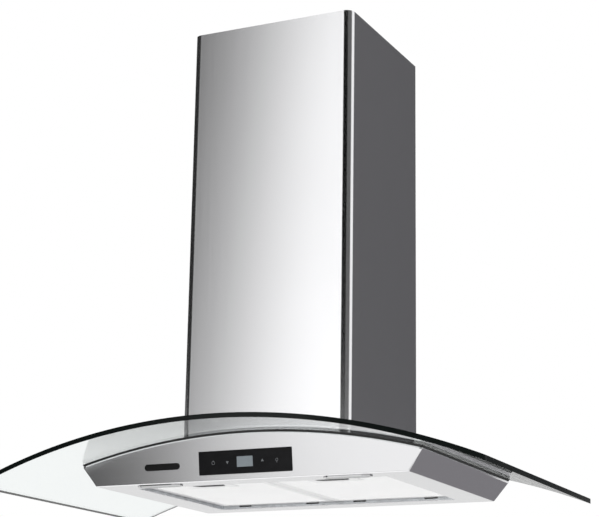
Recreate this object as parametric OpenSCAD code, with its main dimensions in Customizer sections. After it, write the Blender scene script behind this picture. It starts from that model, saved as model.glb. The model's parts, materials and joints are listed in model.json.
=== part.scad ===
// Island range hood: a curved glass canopy on a shallow steel body, a telescoping chimney over a
// slotted ceiling frame, a double-inlet blower, two tilting grease filters and a touch control.
// Millimetres, +Z up, +X to the right and +Y to the back. The origin is the centre of the ceiling
// plate's bolt pattern, on the face that meets the ceiling, so the whole hood hangs below it.

/* [Overall] */
// Ceiling to the canopy's underside with the hood fully raised
hood_drop = 820; // [760:10:1100]
// How far the hood can be let down on its frame
height_travel = 300; // [150:10:300]

/* [Glass canopy] */
// Width of the glass
glass_w = 900; // [700:10:1200]
// Depth of the glass at its middle
glass_d = 560; // [520:10:700]
// Thickness of the glass
glass_t = 8; // [6:1:10]
// Radius of the glass's lower face
arch_r = 1220; // [1000:10:2000]
// How far the glass reaches in front of the body's lower front edge
glass_front_over = 130; // [90:5:170]
// Bow of the front edge between its corners
glass_bow = 18; // [4:1:40]
// Corner radius of the glass
glass_corner_r = 8; // [4:1:20]

/* [Canopy body] */
// Width of the body's underside
body_w = 570; // [470:5:690]
// Depth of the body's underside
body_d = 395; // [345:5:480]
// Underside of the body to the glass, at the middle
body_h = 79; // [70:1:95]
// How far the body stands forward of the chimney's centre
body_forward = 12; // [0:1:14]
// Outward lean of the side walls, degrees from upright
side_lean = 36; // [0:1:40]
// Forward lean of the fascia
front_lean = 8; // [0:1:15]
// Backward lean of the rear wall
rear_lean = 14; // [0:1:20]
// Thickness of the body's steel sheet
sheet = 1.2; // [1:0.1:1.6]
// Thickness of the rubber gasket under the glass
gasket_t = 4; // [3:0.5:6]
// Width of the gasket
gasket_w = 7; // [5:0.5:10]
// Width of the underside rim at each side of the filters
rim_side = 55; // [40:1:70]
// Width of the underside rim in front of the filters
rim_front = 42; // [40:1:60]
// Width of the underside rim behind the filters
rim_rear = 43; // [20:1:60]

/* [Chimney] */
// Width of the lower chimney
chimney_w = 312; // [306:2:380]
// Depth of the lower chimney
chimney_d = 308; // [302:2:360]
// Corner radius of the lower chimney
chimney_r = 15; // [10:1:25]
// Sheet thickness of the chimney covers
cover_t = 1; // [0.8:0.1:1.2]
// Gap between the lower and the upper chimney
cover_gap = 2.5; // [2.5:0.1:4]
// Length of upper chimney that stays inside the lower one at full drop
cover_lap = 100; // [60:5:120]

/* [Frame] */
// Leg of the lower angle uprights
angle_leg = 28; // [24:1:32]
// Thickness of all the angle uprights
angle_t = 2; // [1.5:0.5:3]
// Sliding gap between nested uprights
angle_gap = 0.4; // [0.3:0.1:0.8]
// Thickness of the ceiling plate
plate_t = 3; // [2:0.5:5]
// Spacing of the ceiling bolts, both ways
bolt_spacing = 220; // [200:5:230]
// Radius of each ceiling bolt hole
bolt_hole_r = 4.25; // [3:0.25:6]
// Radius of the duct opening in the ceiling plate
duct_hole_r = 85; // [80:1:95]

/* [Blower] */
// Width of the blower box
box_w = 240; // [230:2:250]
// Depth of the blower box
box_d = 236; // [232:2:246]
// Height of the blower box
box_h = 260; // [250:5:300]
// Outer radius of the duct collar
collar_r = 75; // [60:1:80]
// Height of the duct collar
collar_h = 50; // [45:1:70]
// Outer radius of the fan wheel
wheel_r = 60; // [50:1:62]
// Width of the fan wheel
wheel_w = 128; // [100:2:134]
// Radius of the motor shaft
shaft_r = 4; // [3:0.5:6]
// Radius of the motor can
motor_r = 38; // [30:1:42]
// Radius of the damper pins
damper_pin_r = 1.5; // [1:0.1:2]

/* [Filters] */
// Thickness of a grease filter
filter_t = 9; // [9:0.5:14]
// Depth of the filters above the underside
filter_recess = 6; // [4:0.5:9]
// Width of each filter's edge channel
filter_rim = 12; // [10:1:16]
// Travel of each filter's finger latch
latch_travel = 8; // [6:0.5:9]

/* [Controls and lamps] */
// Width of the touch glass
panel_w = 170; // [140:2:200]
// Height of the touch glass
panel_h = 38; // [30:1:44]
// Centre of the touch glass above the underside, along the fascia
panel_rise = 29.5; // [26:0.5:34]
// Length of each lamp
lamp_l = 84; // [60:2:90]
// Width of each lamp
lamp_w = 26; // [20:1:30]
// Distance of each lamp from the middle
lamp_x = 172; // [140:1:180]

/* [Hidden] */
$fn = 64;
ARCH_FN = 360;
STEEL = "#c6c7ca";
GALV = "#a9aeb2";
BLACK = "#1a1a1c";
GLASS = [0.78, 0.86, 0.85, 0.45];
EPS = 0.01;
FAR = 3000;

front_y = -body_d / 2 - body_forward;
rear_y = body_d / 2 - body_forward;
glass_top = body_h + glass_t;
glass_front = front_y - glass_front_over;
glass_rear = glass_front + glass_d;
skin_r = arch_r - gasket_t;

pad_over = 3;
ring_t = 2;
ring_z = glass_top + pad_over;
ring_top = ring_z + ring_t;
lip_h = 12;
lip_l = 80;

chimney_top = hood_drop - 2;
upper_w = chimney_w - 2 * (cover_t + cover_gap);
upper_d = chimney_d - 2 * (cover_t + cover_gap);
upper_r = chimney_r - cover_gap - cover_t;
upper_len = height_travel + cover_lap;
chimney_lift = 0.5;
flange_w = 40;
tongue_w = 12;
tap_r = 1.6;
tap_l = 5;
tap_head_r = 3;
ear_w = 120;
ear_h = 28;
ear_screw_y = 40;
ear_screw_drop = 16;
cable_hole_r = 10;

// Keeps an upright's sharp corner clear of the cover's round one.
upright_inset = (upper_r - cover_t) * (1 - sqrt(0.5)) + 0.8;
lower_up_x = upper_w / 2 - cover_t - upright_inset;
lower_up_y = upper_d / 2 - cover_t - upright_inset;
upper_up_x = lower_up_x - angle_t - angle_gap;
upper_up_y = lower_up_y - angle_t - angle_gap;
upper_leg = angle_leg - angle_t - angle_gap - 1;
upright_lap = 168;
lower_up_top = ring_top + height_travel + upright_lap;
upper_up_z = ring_top + 8;
clamp_r = 3;
clamp_y = lower_up_y - angle_leg / 2 - 1;
clamp_zs = [lower_up_top - 60, lower_up_top - 20];
slot_w = 2 * clamp_r + 0.6;
slot_end = 2;

ring_w = chimney_w - 2 * cover_t - 1;
ring_d = chimney_d - 4 * cover_t - 1;
box_lip = 10;
ring_open_w = box_w - 2 * box_lip - 2;
ring_open_d = box_d - 2 * box_lip - 2;
cut_w = box_w - 4;
cut_d = box_d - 4;
pad_w = ring_w - 8;
pad_d = ring_d - 8;
clamp_m6 = 3;
glass_hole_r = 5;
side_bolt = [(cut_w + pad_w) / 4, 55];
end_bolt = [55, (cut_d + pad_d) / 4];

box_t = 1;
box_top = ring_top + box_h;
axis_y = 35;
wheel_gap = 6;
scroll_r0 = wheel_r + wheel_gap;
scroll_r1 = scroll_r0 + 34;
cut_angle = 60;
axis_z = ring_top + scroll_r1 + 2;
scroll_t = 2;
volute_w = wheel_w + 12;
inlet_r = wheel_r - 10;
neck_h = box_top - box_t - axis_z;
neck_front = axis_y - scroll_r1;
neck_rear = axis_y + scroll_r0 * cos(cut_angle);
blades = 32;

motor_front = -18;
motor_rear = -volute_w / 2 - 18;
cap_t = 6;
bracket_t = 2.5;
post_r = 5;
post_ring = inlet_r + 12;
bush_h = 7;

collar_t = 2;
collar_z = box_top;
base_t = 2;
pin_z = collar_z + base_t + 22;
pin_y = 4;
barrel_r = 3.2;
flap_t = 1.2;
flap_r = collar_r - collar_t - 3;
running = 0.05;

aper_w = body_w - 2 * rim_side;
aper_d = body_d - rim_front - rim_rear;
aper_y0 = front_y + rim_front;
aper_y1 = aper_y0 + aper_d;
surround_h = 20;
side_play = 0.75;
front_play = 0.8;
rear_play = 1.7;
filter_w = (aper_w - 4 * side_play) / 2;
filter_d = aper_d - front_play - rear_play;
filter_x = side_play + filter_w / 2;
filter_y = aper_y0 + front_play;
tab_w = 22;
tab_x = filter_w * 0.3;
tab_t = 1.5;
tab_reach = 8;
mesh_t = 0.8;
core_t = 1.5;
bay_w = 88;
bay_l = 58;
pocket_l = 60;
pocket_w = 28;
pocket_y = 42;
cup_wall = 2;
strip_w = 16;
strip_t = 1.6;
strip_z = 3.2;
strip_play = 0.3;
tongue_out = 5;

lamp_y = front_y + rim_front / 2;
lamp_in = 3;
lamp_wall = 1.5;
lamp_h = 14;
panel_play = 0.5;
badge_x = -panel_w / 2 - 70;
badge_rise = panel_rise - 2;
badge_l = 66;
badge_w = 11;
badge_t = 1.4;

power_w = 200;
power_h = 130;
power_z = ring_top + 98;
power_depth = 26;
power_wall = 2;
gland_x = -50;
gland_y = box_d / 2 + power_depth / 2;
gland_bore = 4;
gland_r = 6;
lead_hole_r = 5;
lead_r = 2.5;
lead_rise = power_z + 20;
harness_x = -90;
touch_lead_x = -55;

// ---------- helpers ----------

// Lowers what is drawn above the canopy's underside so that the ceiling face is at zero.
module hang() translate([0, 0, -hood_drop]) children();

module both_sides() {
    children();
    mirror([1, 0, 0]) children();
}

module four_corners() {
    both_sides() children();
    mirror([0, 1, 0]) both_sides() children();
}

// A centred rectangle with round corners.
module round_rect(w, d, r) {
    square([w - 2 * r, d], center = true);
    square([w, d - 2 * r], center = true);
    for (sx = [-1, 1], sy = [-1, 1])
        translate([sx * (w / 2 - r), sy * (d / 2 - r)]) circle(r);
}

// A centred oblong with half-round ends.
module oblong(l, w) {
    square([l - w, w], center = true);
    for (s = [-1, 1]) translate([s * (l - w) / 2, 0]) circle(w / 2);
}

// A centred box in X and Y that stands on z.
module block(w, d, z, h) translate([-w / 2, -d / 2, z]) cube([w, d, h]);

// Turns what points up so that it points along +X, at a place.
module along_x(x, y, z) translate([x, y, z]) rotate([0, 90, 0]) children();

// The long cylinder that the glass and everything under it are curved to.
module arch(r)
    translate([0, 0, body_h - arch_r]) rotate([90, 0, 0])
        cylinder(r = r, h = FAR, center = true, $fn = ARCH_FN);

// The body's leaning form between two heights, its walls moved in by inset.
module leaning_form(inset, z0, z1) {
    ix = inset / cos(side_lean);
    fy = inset / cos(front_lean);
    ry = inset / cos(rear_lean);
    intersection() {
        rotate([90, 0, 0]) linear_extrude(FAR, center = true) polygon([
            [-body_w / 2 - z0 * tan(side_lean) + ix, z0], [body_w / 2 + z0 * tan(side_lean) - ix, z0],
            [body_w / 2 + z1 * tan(side_lean) - ix, z1], [-body_w / 2 - z1 * tan(side_lean) + ix, z1]
        ]);
        rotate([90, 0, 90]) linear_extrude(FAR, center = true) polygon([
            [front_y - z0 * tan(front_lean) + fy, z0], [rear_y + z0 * tan(rear_lean) - ry, z0],
            [rear_y + z1 * tan(rear_lean) - ry, z1], [front_y - z1 * tan(front_lean) + fy, z1]
        ]);
    }
}

// Local x along the fascia, y up it and z out of it, from the middle of its lower edge.
module on_fascia() translate([0, front_y, 0]) rotate([90 + front_lean, 0, 0]) children();

// A screw along +Z whose head stands on zero, with its shank below.
module screw(r, len, head_r, head_h) {
    cylinder(r = head_r, h = head_h, $fn = 32);
    translate([0, 0, -len]) cylinder(r = r, h = len, $fn = 24);
}

// ---------- ceiling frame ----------

// The plate, with an ear folded down at each side for the upper cover's screws. The mains cord
// comes through a hole straight above the power box's gland.
module ceiling_plate() color(GALV) hang() {
    plate_w = upper_w - 2 * cover_t - 1;
    plate_d = upper_d - 4 * cover_t - 1;
    difference() {
        union() {
            translate([0, 0, hood_drop - plate_t]) linear_extrude(plate_t)
                round_rect(plate_w, plate_d, upper_r);
            both_sides() translate([plate_w / 2 - angle_t, -ear_w / 2, hood_drop - ear_h])
                cube([angle_t, ear_w, ear_h - plate_t + EPS]);
        }
        translate([0, 0, hood_drop - plate_t - 1]) cylinder(r = duct_hole_r, h = plate_t + 2, $fn = 128);
        for (sx = [-1, 1], sy = [-1, 1])
            translate([sx, sy, 0] * bolt_spacing / 2 + [0, 0, hood_drop - plate_t - 1])
                cylinder(r = bolt_hole_r, h = plate_t + 2);
        translate([gland_x, gland_y, hood_drop - plate_t - 1]) cylinder(r = cable_hole_r, h = plate_t + 2);
        ear_screw_places(plate_w / 2 - angle_t - 1) cylinder(r = tap_r, h = angle_t + 2);
    }
}

// Where the upper cover is screwed to the ceiling plate's ears, pointing outwards from x.
module ear_screw_places(x)
    both_sides() for (s = [-1, 1]) along_x(x, s * ear_screw_y, hood_drop - ear_screw_drop) children();

// One angle with its outer corner at the origin, standing up, legs towards -X and -Y.
module angle_iron(leg, len) linear_extrude(len)
    polygon([[0, 0], [-leg, 0], [-leg, -angle_t], [-angle_t, -angle_t], [-angle_t, -leg], [0, -leg]]);

module upper_uprights() color(GALV) hang() four_corners() difference() {
    translate([upper_up_x, upper_up_y, upper_up_z])
        angle_iron(upper_leg, hood_drop - plate_t - upper_up_z);
    slot_z0 = clamp_zs[0] - height_travel - clamp_r - slot_end;
    slot_z1 = clamp_zs[1] + clamp_r + slot_end;
    translate([upper_up_x - angle_t - 1, clamp_y - slot_w / 2, slot_z0 + slot_w / 2])
        cube([angle_t + 2, slot_w, slot_z1 - slot_z0 - slot_w]);
    for (z = [slot_z0 + slot_w / 2, slot_z1 - slot_w / 2])
        along_x(upper_up_x - angle_t - 1, clamp_y, z) cylinder(r = slot_w / 2, h = angle_t + 2);
}

module frame_straps() color(GALV) hang() {
    strap_h = 22;
    strap_gap = 4;
    strap_z = lower_up_top + 40;
    inner_x = upper_up_x - angle_t;
    inner_y = upper_up_y - angle_t;
    both_sides() translate([inner_x - angle_t, -inner_y, strap_z]) cube([angle_t, 2 * inner_y, strap_h]);
    for (s = [0, 1]) mirror([0, s, 0])
        translate([-inner_x, inner_y - angle_t, strap_z + strap_h + strap_gap])
            cube([2 * inner_x, angle_t, strap_h]);
}

// ---------- chimney covers ----------

module tap_hole() cylinder(r = tap_r, h = 8, center = true);

// The wrap-round cover, open between two flanges at the back.
module cover_front_2d(w, d, r) difference() {
    round_rect(w, d, r);
    round_rect(w - 2 * cover_t, d - 2 * cover_t, r - cover_t);
    translate([-w / 2 + flange_w, d / 2 - cover_t - 1]) square([w - 2 * flange_w, cover_t + 2]);
}

// The back panel: flush between the flanges, with a tongue behind each.
module cover_rear_2d(w, d) {
    edge = w / 2 - flange_w - 0.4;
    root = edge - 8;
    tip = edge + tongue_w;
    outer = d / 2;
    middle = outer - cover_t;
    inner = middle - cover_t;
    polygon([
        [-tip, inner], [-root, inner], [-root, middle], [root, middle], [root, inner], [tip, inner],
        [tip, middle], [edge, middle], [edge, outer], [-edge, outer], [-edge, middle], [-tip, middle]
    ]);
}

module upper_chimney_front() color(STEEL) hang() difference() {
    translate([0, 0, chimney_top - upper_len]) linear_extrude(upper_len)
        cover_front_2d(upper_w, upper_d, upper_r);
    ear_screw_places(upper_w / 2 - cover_t - 1) cylinder(r = tap_r, h = cover_t + 2);
    cover_screw_places(upper_w, upper_d, upper_zs()) tap_hole();
}

module upper_chimney_rear() color(STEEL) hang() difference() {
    translate([0, 0, chimney_top - upper_len]) linear_extrude(upper_len) cover_rear_2d(upper_w, upper_d);
    cover_screw_places(upper_w, upper_d, upper_zs()) tap_hole();
}

function upper_zs() = [chimney_top - upper_len + 20, chimney_top - upper_len / 2, chimney_top - 40];
function lower_zs() = [ring_top + 8, (ring_top + chimney_top) / 2, chimney_top - 20];

// Where a cover's two halves are screwed together at the back, pointing out of it.
module cover_screw_places(w, d, zs)
    both_sides() for (z = zs) translate([w / 2 - flange_w + tongue_w / 2 - 0.4, d / 2, z])
        rotate([-90, 0, 0]) children();

module upper_cover_screws() color(GALV) hang() {
    low_head = 0.9;
    cover_screw_places(upper_w, upper_d, upper_zs()) screw(tap_r, 2 * cover_t + 1, tap_head_r, low_head);
    ear_screw_places(upper_w / 2) screw(tap_r, tap_l, tap_head_r, low_head);
}

// A lower cover of the given outline, cut off below to stand on the curved glass.
module lower_chimney_body() difference() {
    start = body_h - 20;
    translate([0, 0, start]) linear_extrude(chimney_top - start) children();
    arch(arch_r + glass_t + chimney_lift);
}

module lower_chimney_front() color(STEEL) hang() difference() {
    lower_chimney_body() cover_front_2d(chimney_w, chimney_d, chimney_r);
    cover_screw_places(chimney_w, chimney_d, lower_zs()) tap_hole();
}

module lower_chimney_rear() color(STEEL) hang() difference() {
    lower_chimney_body() cover_rear_2d(chimney_w, chimney_d);
    cover_screw_places(chimney_w, chimney_d, lower_zs()) tap_hole();
}

module lower_cover_screws() color(GALV) hang()
    cover_screw_places(chimney_w, chimney_d, lower_zs()) screw(tap_r, 2 * cover_t + 0.2, tap_head_r, 1.4);

// ---------- hood frame ----------

module lower_uprights() color(GALV) hang() four_corners() difference() {
    translate([lower_up_x, lower_up_y, ring_top]) angle_iron(angle_leg, lower_up_top - ring_top);
    for (z = clamp_zs) along_x(lower_up_x - angle_t - 1, clamp_y, z)
        cylinder(r = clamp_r, h = angle_t + 2);
}

module upright_bolts() color("#777a7d") hang() four_corners() for (z = clamp_zs) {
    nut_face = upper_up_x - angle_t - angle_gap;
    along_x(lower_up_x, clamp_y, z) screw(clamp_r, lower_up_x - nut_face + 7.5, 6, 2);
    along_x(nut_face - 6, clamp_y, z) difference() {
        union() {
            cylinder(r = 5.7, h = 5, $fn = 6);
            translate([0, 0, 5]) cylinder(r = 6.5, h = 1);
        }
        translate([0, 0, -1]) cylinder(r = clamp_r, h = 8);
    }
}

module support_ring() color(GALV) hang() difference() {
    union() {
        translate([0, 0, ring_z]) linear_extrude(ring_t) round_rect(ring_w, ring_d, chimney_r - 1);
        both_sides() translate([ring_w / 2 - ring_t, -lip_l / 2, ring_top - EPS])
            cube([ring_t, lip_l, lip_h]);
        for (s = [0, 1]) mirror([0, s, 0]) translate([-lip_l / 2, ring_d / 2 - ring_t, ring_top - EPS])
            cube([lip_l, ring_t, lip_h]);
    }
    block(ring_open_w, ring_open_d, ring_z - 1, ring_t + 2);
    glass_bolt_places() translate([0, 0, ring_z - 1]) cylinder(r = clamp_m6, h = ring_t + 2);
}

// The eight places where bolts pass through the glass.
module glass_bolt_places() four_corners() {
    translate([side_bolt[0], side_bolt[1], 0]) children();
    translate([end_bolt[0], end_bolt[1], 0]) children();
}

module pad_2d() difference() {
    square([pad_w, pad_d], center = true);
    square([cut_w, cut_d], center = true);
}

module upper_pad() color(BLACK) hang() difference() {
    translate([0, 0, body_h - 10]) linear_extrude(ring_z - body_h + 10) pad_2d();
    arch(arch_r + glass_t);
    glass_bolt_places() cylinder(r = glass_hole_r, h = ring_z + 1);
}

module lower_pad() color(BLACK) hang() difference() {
    intersection() {
        translate([0, 0, body_h - 30]) linear_extrude(40) pad_2d();
        arch(arch_r);
    }
    arch(skin_r);
    glass_bolt_places() cylinder(r = glass_hole_r, h = ring_z + 1);
}

module glass_bushes() color("#e8e8e2") hang() glass_bolt_places() difference() {
    translate([0, 0, body_h - 30]) cylinder(r = glass_hole_r, h = ring_z - body_h + 30);
    arch(skin_r);
    cylinder(r = clamp_m6, h = ring_z + 1);
}

module glass_clamp_bolts() color("#777a7d") hang() glass_bolt_places() {
    translate([0, 0, ring_top]) screw(clamp_m6, ring_top - body_h + gasket_t + 22, 5.5, 3);
    translate([0, 0, body_h - gasket_t - 20]) difference() {
        cylinder(r = 5.7, h = 5, $fn = 6);
        translate([0, 0, -1]) cylinder(r = clamp_m6, h = 7);
    }
}

// ---------- glass ----------

// Points round an arc, with n steps from angle a0 to a1.
function arc(cx, cy, r, a0, a1, n) =
    [for (i = [0 : n]) let (a = a0 + (a1 - a0) * i / n) [cx + r * cos(a), cy + r * sin(a)]];

module glass_plan_2d() {
    r = glass_corner_r;
    half = glass_w / 2 - r;
    front = glass_front + glass_bow + r;
    bow_r = (half * half + glass_bow * glass_bow) / (2 * glass_bow);
    bow_angle = asin(half / bow_r);
    polygon(concat(
        arc(half, glass_rear - r, r, 0, 90, 6), arc(-half, glass_rear - r, r, 90, 180, 6),
        arc(-half, front, r, 180, 262, 6),
        arc(0, glass_front + bow_r, bow_r, 270 - bow_angle, 270 + bow_angle, 36),
        arc(half, front, r, 278, 360, 6)
    ));
}

module glass_canopy() color(GLASS) hang() difference() {
    intersection() {
        translate([0, 0, body_h - 250]) linear_extrude(280) glass_plan_2d();
        arch(arch_r + glass_t);
    }
    arch(arch_r);
    translate([0, 0, body_h - 40]) linear_extrude(80) round_rect(cut_w, cut_d, 12);
    glass_bolt_places() translate([0, 0, body_h - 40]) cylinder(r = glass_hole_r, h = 80);
}

module glass_gasket() color(BLACK) hang() difference() {
    intersection() {
        leaning_form(0, 0, body_h + EPS);
        arch(arch_r);
    }
    arch(skin_r);
    leaning_form(gasket_w, -1, body_h + 5);
}

// ---------- canopy body ----------

module top_skin() color(GALV) hang() difference() {
    intersection() {
        leaning_form(sheet, 0, body_h);
        arch(skin_r);
    }
    arch(skin_r - sheet);
    block(cut_w, cut_d, 0, body_h + 5);
    glass_bolt_places() cylinder(r = clamp_m6, h = body_h + 5);
}

module canopy_shell() color(STEEL) hang() difference() {
    intersection() {
        leaning_form(0, 0, body_h);
        arch(skin_r);
    }
    leaning_form(sheet, sheet, body_h + 5);
    translate([-aper_w / 2, aper_y0, -1]) cube([aper_w, aper_d, sheet + 2]);
    on_fascia() translate([0, panel_rise, -sheet - 1]) linear_extrude(sheet + 2)
        round_rect(panel_w + 2 * panel_play, panel_h + 2 * panel_play, 1.5);
    lamp_places() translate([0, 0, -1]) linear_extrude(sheet + 2)
        lamp_2d(lamp_in);
}

module filter_surround() color(GALV) hang() difference() {
    translate([-aper_w / 2 - sheet, aper_y0 - sheet, sheet])
        cube([aper_w + 2 * sheet, aper_d + 2 * sheet, surround_h]);
    translate([-aper_w / 2, aper_y0, sheet - 1]) cube([aper_w, aper_d, surround_h + 2]);
    both_sides() {
        for (s = [-1, 1]) translate([filter_x + s * tab_x - tab_w / 2 - 1.5, aper_y1 - 1, filter_recess - 2])
            cube([tab_w + 3, sheet + 2, 7.5]);
        translate([filter_x - strip_w / 2 - 1, aper_y0 - sheet - 1, filter_recess + strip_z - 0.5])
            cube([strip_w + 2, sheet + 2, strip_t + 1]);
    }
}

// ---------- blower ----------

module blower_box() color(GALV) hang() difference() {
    block(box_w, box_d, ring_top, box_h);
    block(box_w - 2 * box_t, box_d - 2 * box_t, ring_top + box_t, box_h - 2 * box_t);
    block(box_w - 2 * box_lip, box_d - 2 * box_lip, ring_top - 1, box_t + 2);
    translate([-volute_w / 2, neck_front, box_top - box_t - 1])
        cube([volute_w, neck_rear - neck_front, box_t + 2]);
    lead_hole(6);
}

// Radius of the scroll at an angle, from the cut-off round to the outlet's front wall.
function scroll_r(a) = scroll_r0 + (scroll_r1 - scroll_r0) * (cut_angle - a) / (cut_angle + 180);

// The scroll's outline, grown by g, with y along x and z along y.
module scroll_2d(g) polygon(concat(
    [for (a = [cut_angle : -12 : -180]) (scroll_r(a) + g) * [cos(a), sin(a)]],
    [[-scroll_r1 - g, neck_h], [scroll_r0 * cos(cut_angle) + g, neck_h]]
));

module volute_right() color("#3a3d40") hang() volute_half();
module volute_left() color("#3a3d40") hang() mirror([1, 0, 0]) volute_half();

module volute_half() translate([0, axis_y, axis_z]) difference() {
    union() {
        rotate([90, 0, 90]) linear_extrude(volute_w / 2 + scroll_t) scroll_2d(scroll_t);
        along_x(volute_w / 2, 0, 0) cylinder(r = inlet_r + 3, h = scroll_t + 5);
    }
    rotate([90, 0, 90]) translate([0, 0, -1]) linear_extrude(volute_w / 2 + 1) scroll_2d(0);
    translate([-1, -scroll_r1, scroll_r1]) cube([volute_w / 2 + 1, scroll_r1 + neck_rear - axis_y, neck_h]);
    along_x(volute_w / 2 - 1, 0, 0) cylinder(r = inlet_r, h = scroll_t + 7);
}

module fan_wheel() color("#d8d8d2") hang() along_x(0, axis_y, axis_z) difference() {
    union() {
        cylinder(r = wheel_r, h = 3, center = true);
        cylinder(r = 11, h = 20, center = true);
        for (s = [-1, 1]) translate([0, 0, s * (wheel_w / 2 - 1.5)]) difference() {
            cylinder(r = wheel_r, h = 3, center = true);
            cylinder(r = wheel_r - 10, h = 4, center = true);
        }
        for (i = [0 : blades - 1]) rotate(i * 360 / blades)
            translate([wheel_r - 9.6, 0, -wheel_w / 2 + 1]) rotate(-28)
                cube([9.6, 1.4, wheel_w - 2]);
    }
    cylinder(r = shaft_r, h = 40, center = true);
}

module motor_shaft() color("#8f9296") hang() along_x(0, axis_y, axis_z) {
    translate([0, 0, motor_rear + 4]) cylinder(r = shaft_r, h = 16 - motor_rear);
    translate([0, 0, motor_rear + 14]) difference() {
        cylinder(r = motor_r / 2, h = motor_front - motor_rear - 30);
        translate([0, 0, -1]) cylinder(r = shaft_r, h = 100);
    }
}

module motor_can() color("#b9bcc0") hang() along_x(motor_rear, axis_y, axis_z) {
    len = motor_front - motor_rear;
    difference() {
        cylinder(r = motor_r, h = len);
        translate([0, 0, -1]) cylinder(r = motor_r - 1.5, h = len - 2);
        cylinder(r = shaft_r + 1, h = len + 1);
    }
    translate([0, 0, 14]) difference() {
        cylinder(r = motor_r - 1.5, h = len - 30);
        translate([0, 0, -1]) cylinder(r = motor_r / 2 + 0.6, h = len);
    }
}

module motor_end_cap() color("#b9bcc0") hang() along_x(motor_rear - cap_t, axis_y, axis_z) difference() {
    union() {
        cylinder(r = motor_r, h = cap_t);
        cylinder(r = motor_r - 1.5, h = cap_t + 3);
    }
    translate([0, 0, 2]) cylinder(r = shaft_r + running, h = cap_t + 3);
}

module motor_bracket() color(GALV) hang() along_x(motor_rear - cap_t, axis_y, axis_z) {
    translate([0, 0, -bracket_t]) cylinder(r = 22, h = bracket_t);
    for (a = [0, 120, 240]) rotate(a) {
        translate([10, -6, -bracket_t]) cube([post_ring - 10, 12, bracket_t]);
        translate([post_ring, 0, -bracket_t])
            cylinder(r = post_r, h = bracket_t + cap_t + 18 - scroll_t - bush_h);
    }
}

module motor_bushes() color(BLACK) hang() along_x(-volute_w / 2 - scroll_t - bush_h, axis_y, axis_z)
    for (a = [0, 120, 240]) rotate(a) translate([post_ring, 0, 0]) cylinder(r = 7, h = bush_h);

module capacitor() color("#e4e4e0") hang() {
    translate([-box_w / 2 - 15, 0, ring_top + 130]) cylinder(r = 14, h = 55);
    translate([-box_w / 2 - 15, -6, ring_top + 150]) difference() {
        translate([-14.8, -9, 0]) cube([29.8, 30, 12]);
        translate([0, 6, -1]) cylinder(r = 14, h = 14);
    }
}

// ---------- duct collar and damper ----------

module outlet_collar() color("#2a2a2c") hang() difference() {
    union() {
        block(2 * collar_r + 20, 2 * collar_r + 16, collar_z, base_t);
        translate([0, 0, collar_z]) cylinder(r = collar_r, h = collar_h, $fn = 128);
    }
    translate([0, 0, collar_z - 1]) cylinder(r = collar_r - collar_t - 4, h = collar_h + 2, $fn = 128);
    translate([0, 0, pin_z - flap_t / 2 - 0.5])
        cylinder(r = collar_r - collar_t, h = collar_h, $fn = 128);
    for (y = [-pin_y, pin_y])
        along_x(-collar_r - 1, y, pin_z) cylinder(r = damper_pin_r, h = 2 * collar_r + 2);
}

module damper_pins() color("#8f9296") hang() for (y = [-pin_y, pin_y])
    along_x(-collar_r + 0.3, y, pin_z) cylinder(r = damper_pin_r, h = 2 * collar_r - 0.6);

// The half-round flap that closes towards +Y; its barrel turns on its pin.
module damper_flap() translate([0, pin_y, pin_z]) {
    barrel_l = 2 * flap_r - 6;
    difference() {
        union() {
            intersection() {
                translate([0, -pin_y, -flap_t / 2]) cylinder(r = flap_r, h = flap_t, $fn = 128);
                translate([-flap_r, 0, -flap_t]) cube([2 * flap_r, flap_r, 2 * flap_t]);
            }
            along_x(-barrel_l / 2, 0, 0) cylinder(r = barrel_r, h = barrel_l);
        }
        along_x(-flap_r - 1, 0, 0) cylinder(r = damper_pin_r + running, h = 2 * flap_r + 2);
    }
}

module damper_flap_rear() color("#d4d4ce") hang() damper_flap();
module damper_flap_front() color("#d4d4ce") hang() mirror([0, 1, 0]) damper_flap();

// ---------- power box ----------

module power_box() color("#ececea") hang() difference() {
    translate([-power_w / 2, box_d / 2, power_z]) cube([power_w, power_depth - power_wall, power_h]);
    translate([-power_w / 2 + power_wall, box_d / 2 + power_wall, power_z + power_wall])
        cube([power_w - 2 * power_wall, power_depth, power_h - 2 * power_wall]);
    translate([gland_x, gland_y, power_z + power_h - power_wall - 1])
        cylinder(r = gland_r, h = power_wall + 2);
    lead_hole(3 * power_wall);
}

// Cuts the harness's hole through the back of the blower box.
module lead_hole(depth)
    translate([harness_x, box_d / 2, lead_rise]) rotate([90, 0, 0])
        cylinder(r = lead_hole_r, h = depth, center = true);

module power_box_lid() color("#ececea") hang()
    translate([-power_w / 2, box_d / 2 + power_depth - power_wall, power_z]) difference() {
        cube([power_w, power_wall, power_h]);
        for (x = [8, power_w - 8], z = [8, power_h - 8])
            translate([x, power_wall + 1, z]) rotate([90, 0, 0]) cylinder(r = 1.5, h = power_wall + 2);
    }

module power_board() color("#1f6b3a") hang() translate([0, box_d / 2 + power_wall + 4, power_z + 32]) {
    translate([-72, 0, 0]) cube([144, 1.6, power_h - 40]);
    for (x = [-20, 4, 28]) translate([x, 1.6, 12]) cube([18, 14, 20]);
    translate([-64, 1.6, 10]) cube([34, 16, 30]);
}

module terminal_block() color("#f2f2ee") hang()
    translate([-6, box_d / 2 + power_wall + 5.6, power_z + power_h - 28]) difference() {
        cube([66, 12, 16]);
        for (i = [0 : 4]) translate([7 + 13 * i, 6, 4]) cylinder(r = 2.5, h = 13);
    }

module cord_gland() color(BLACK) hang()
    translate([gland_x, gland_y, power_z + power_h - 8]) difference() {
        union() {
            cylinder(r = gland_r, h = 18);
            translate([0, 0, 8]) cylinder(r = 9, h = 5, $fn = 6);
            translate([0, 0, 13]) cylinder(r = 8, h = 9);
            cylinder(r = 8.5, h = 5.5, $fn = 6);
        }
        translate([0, 0, -1]) cylinder(r = gland_bore, h = 30);
    }

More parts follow.
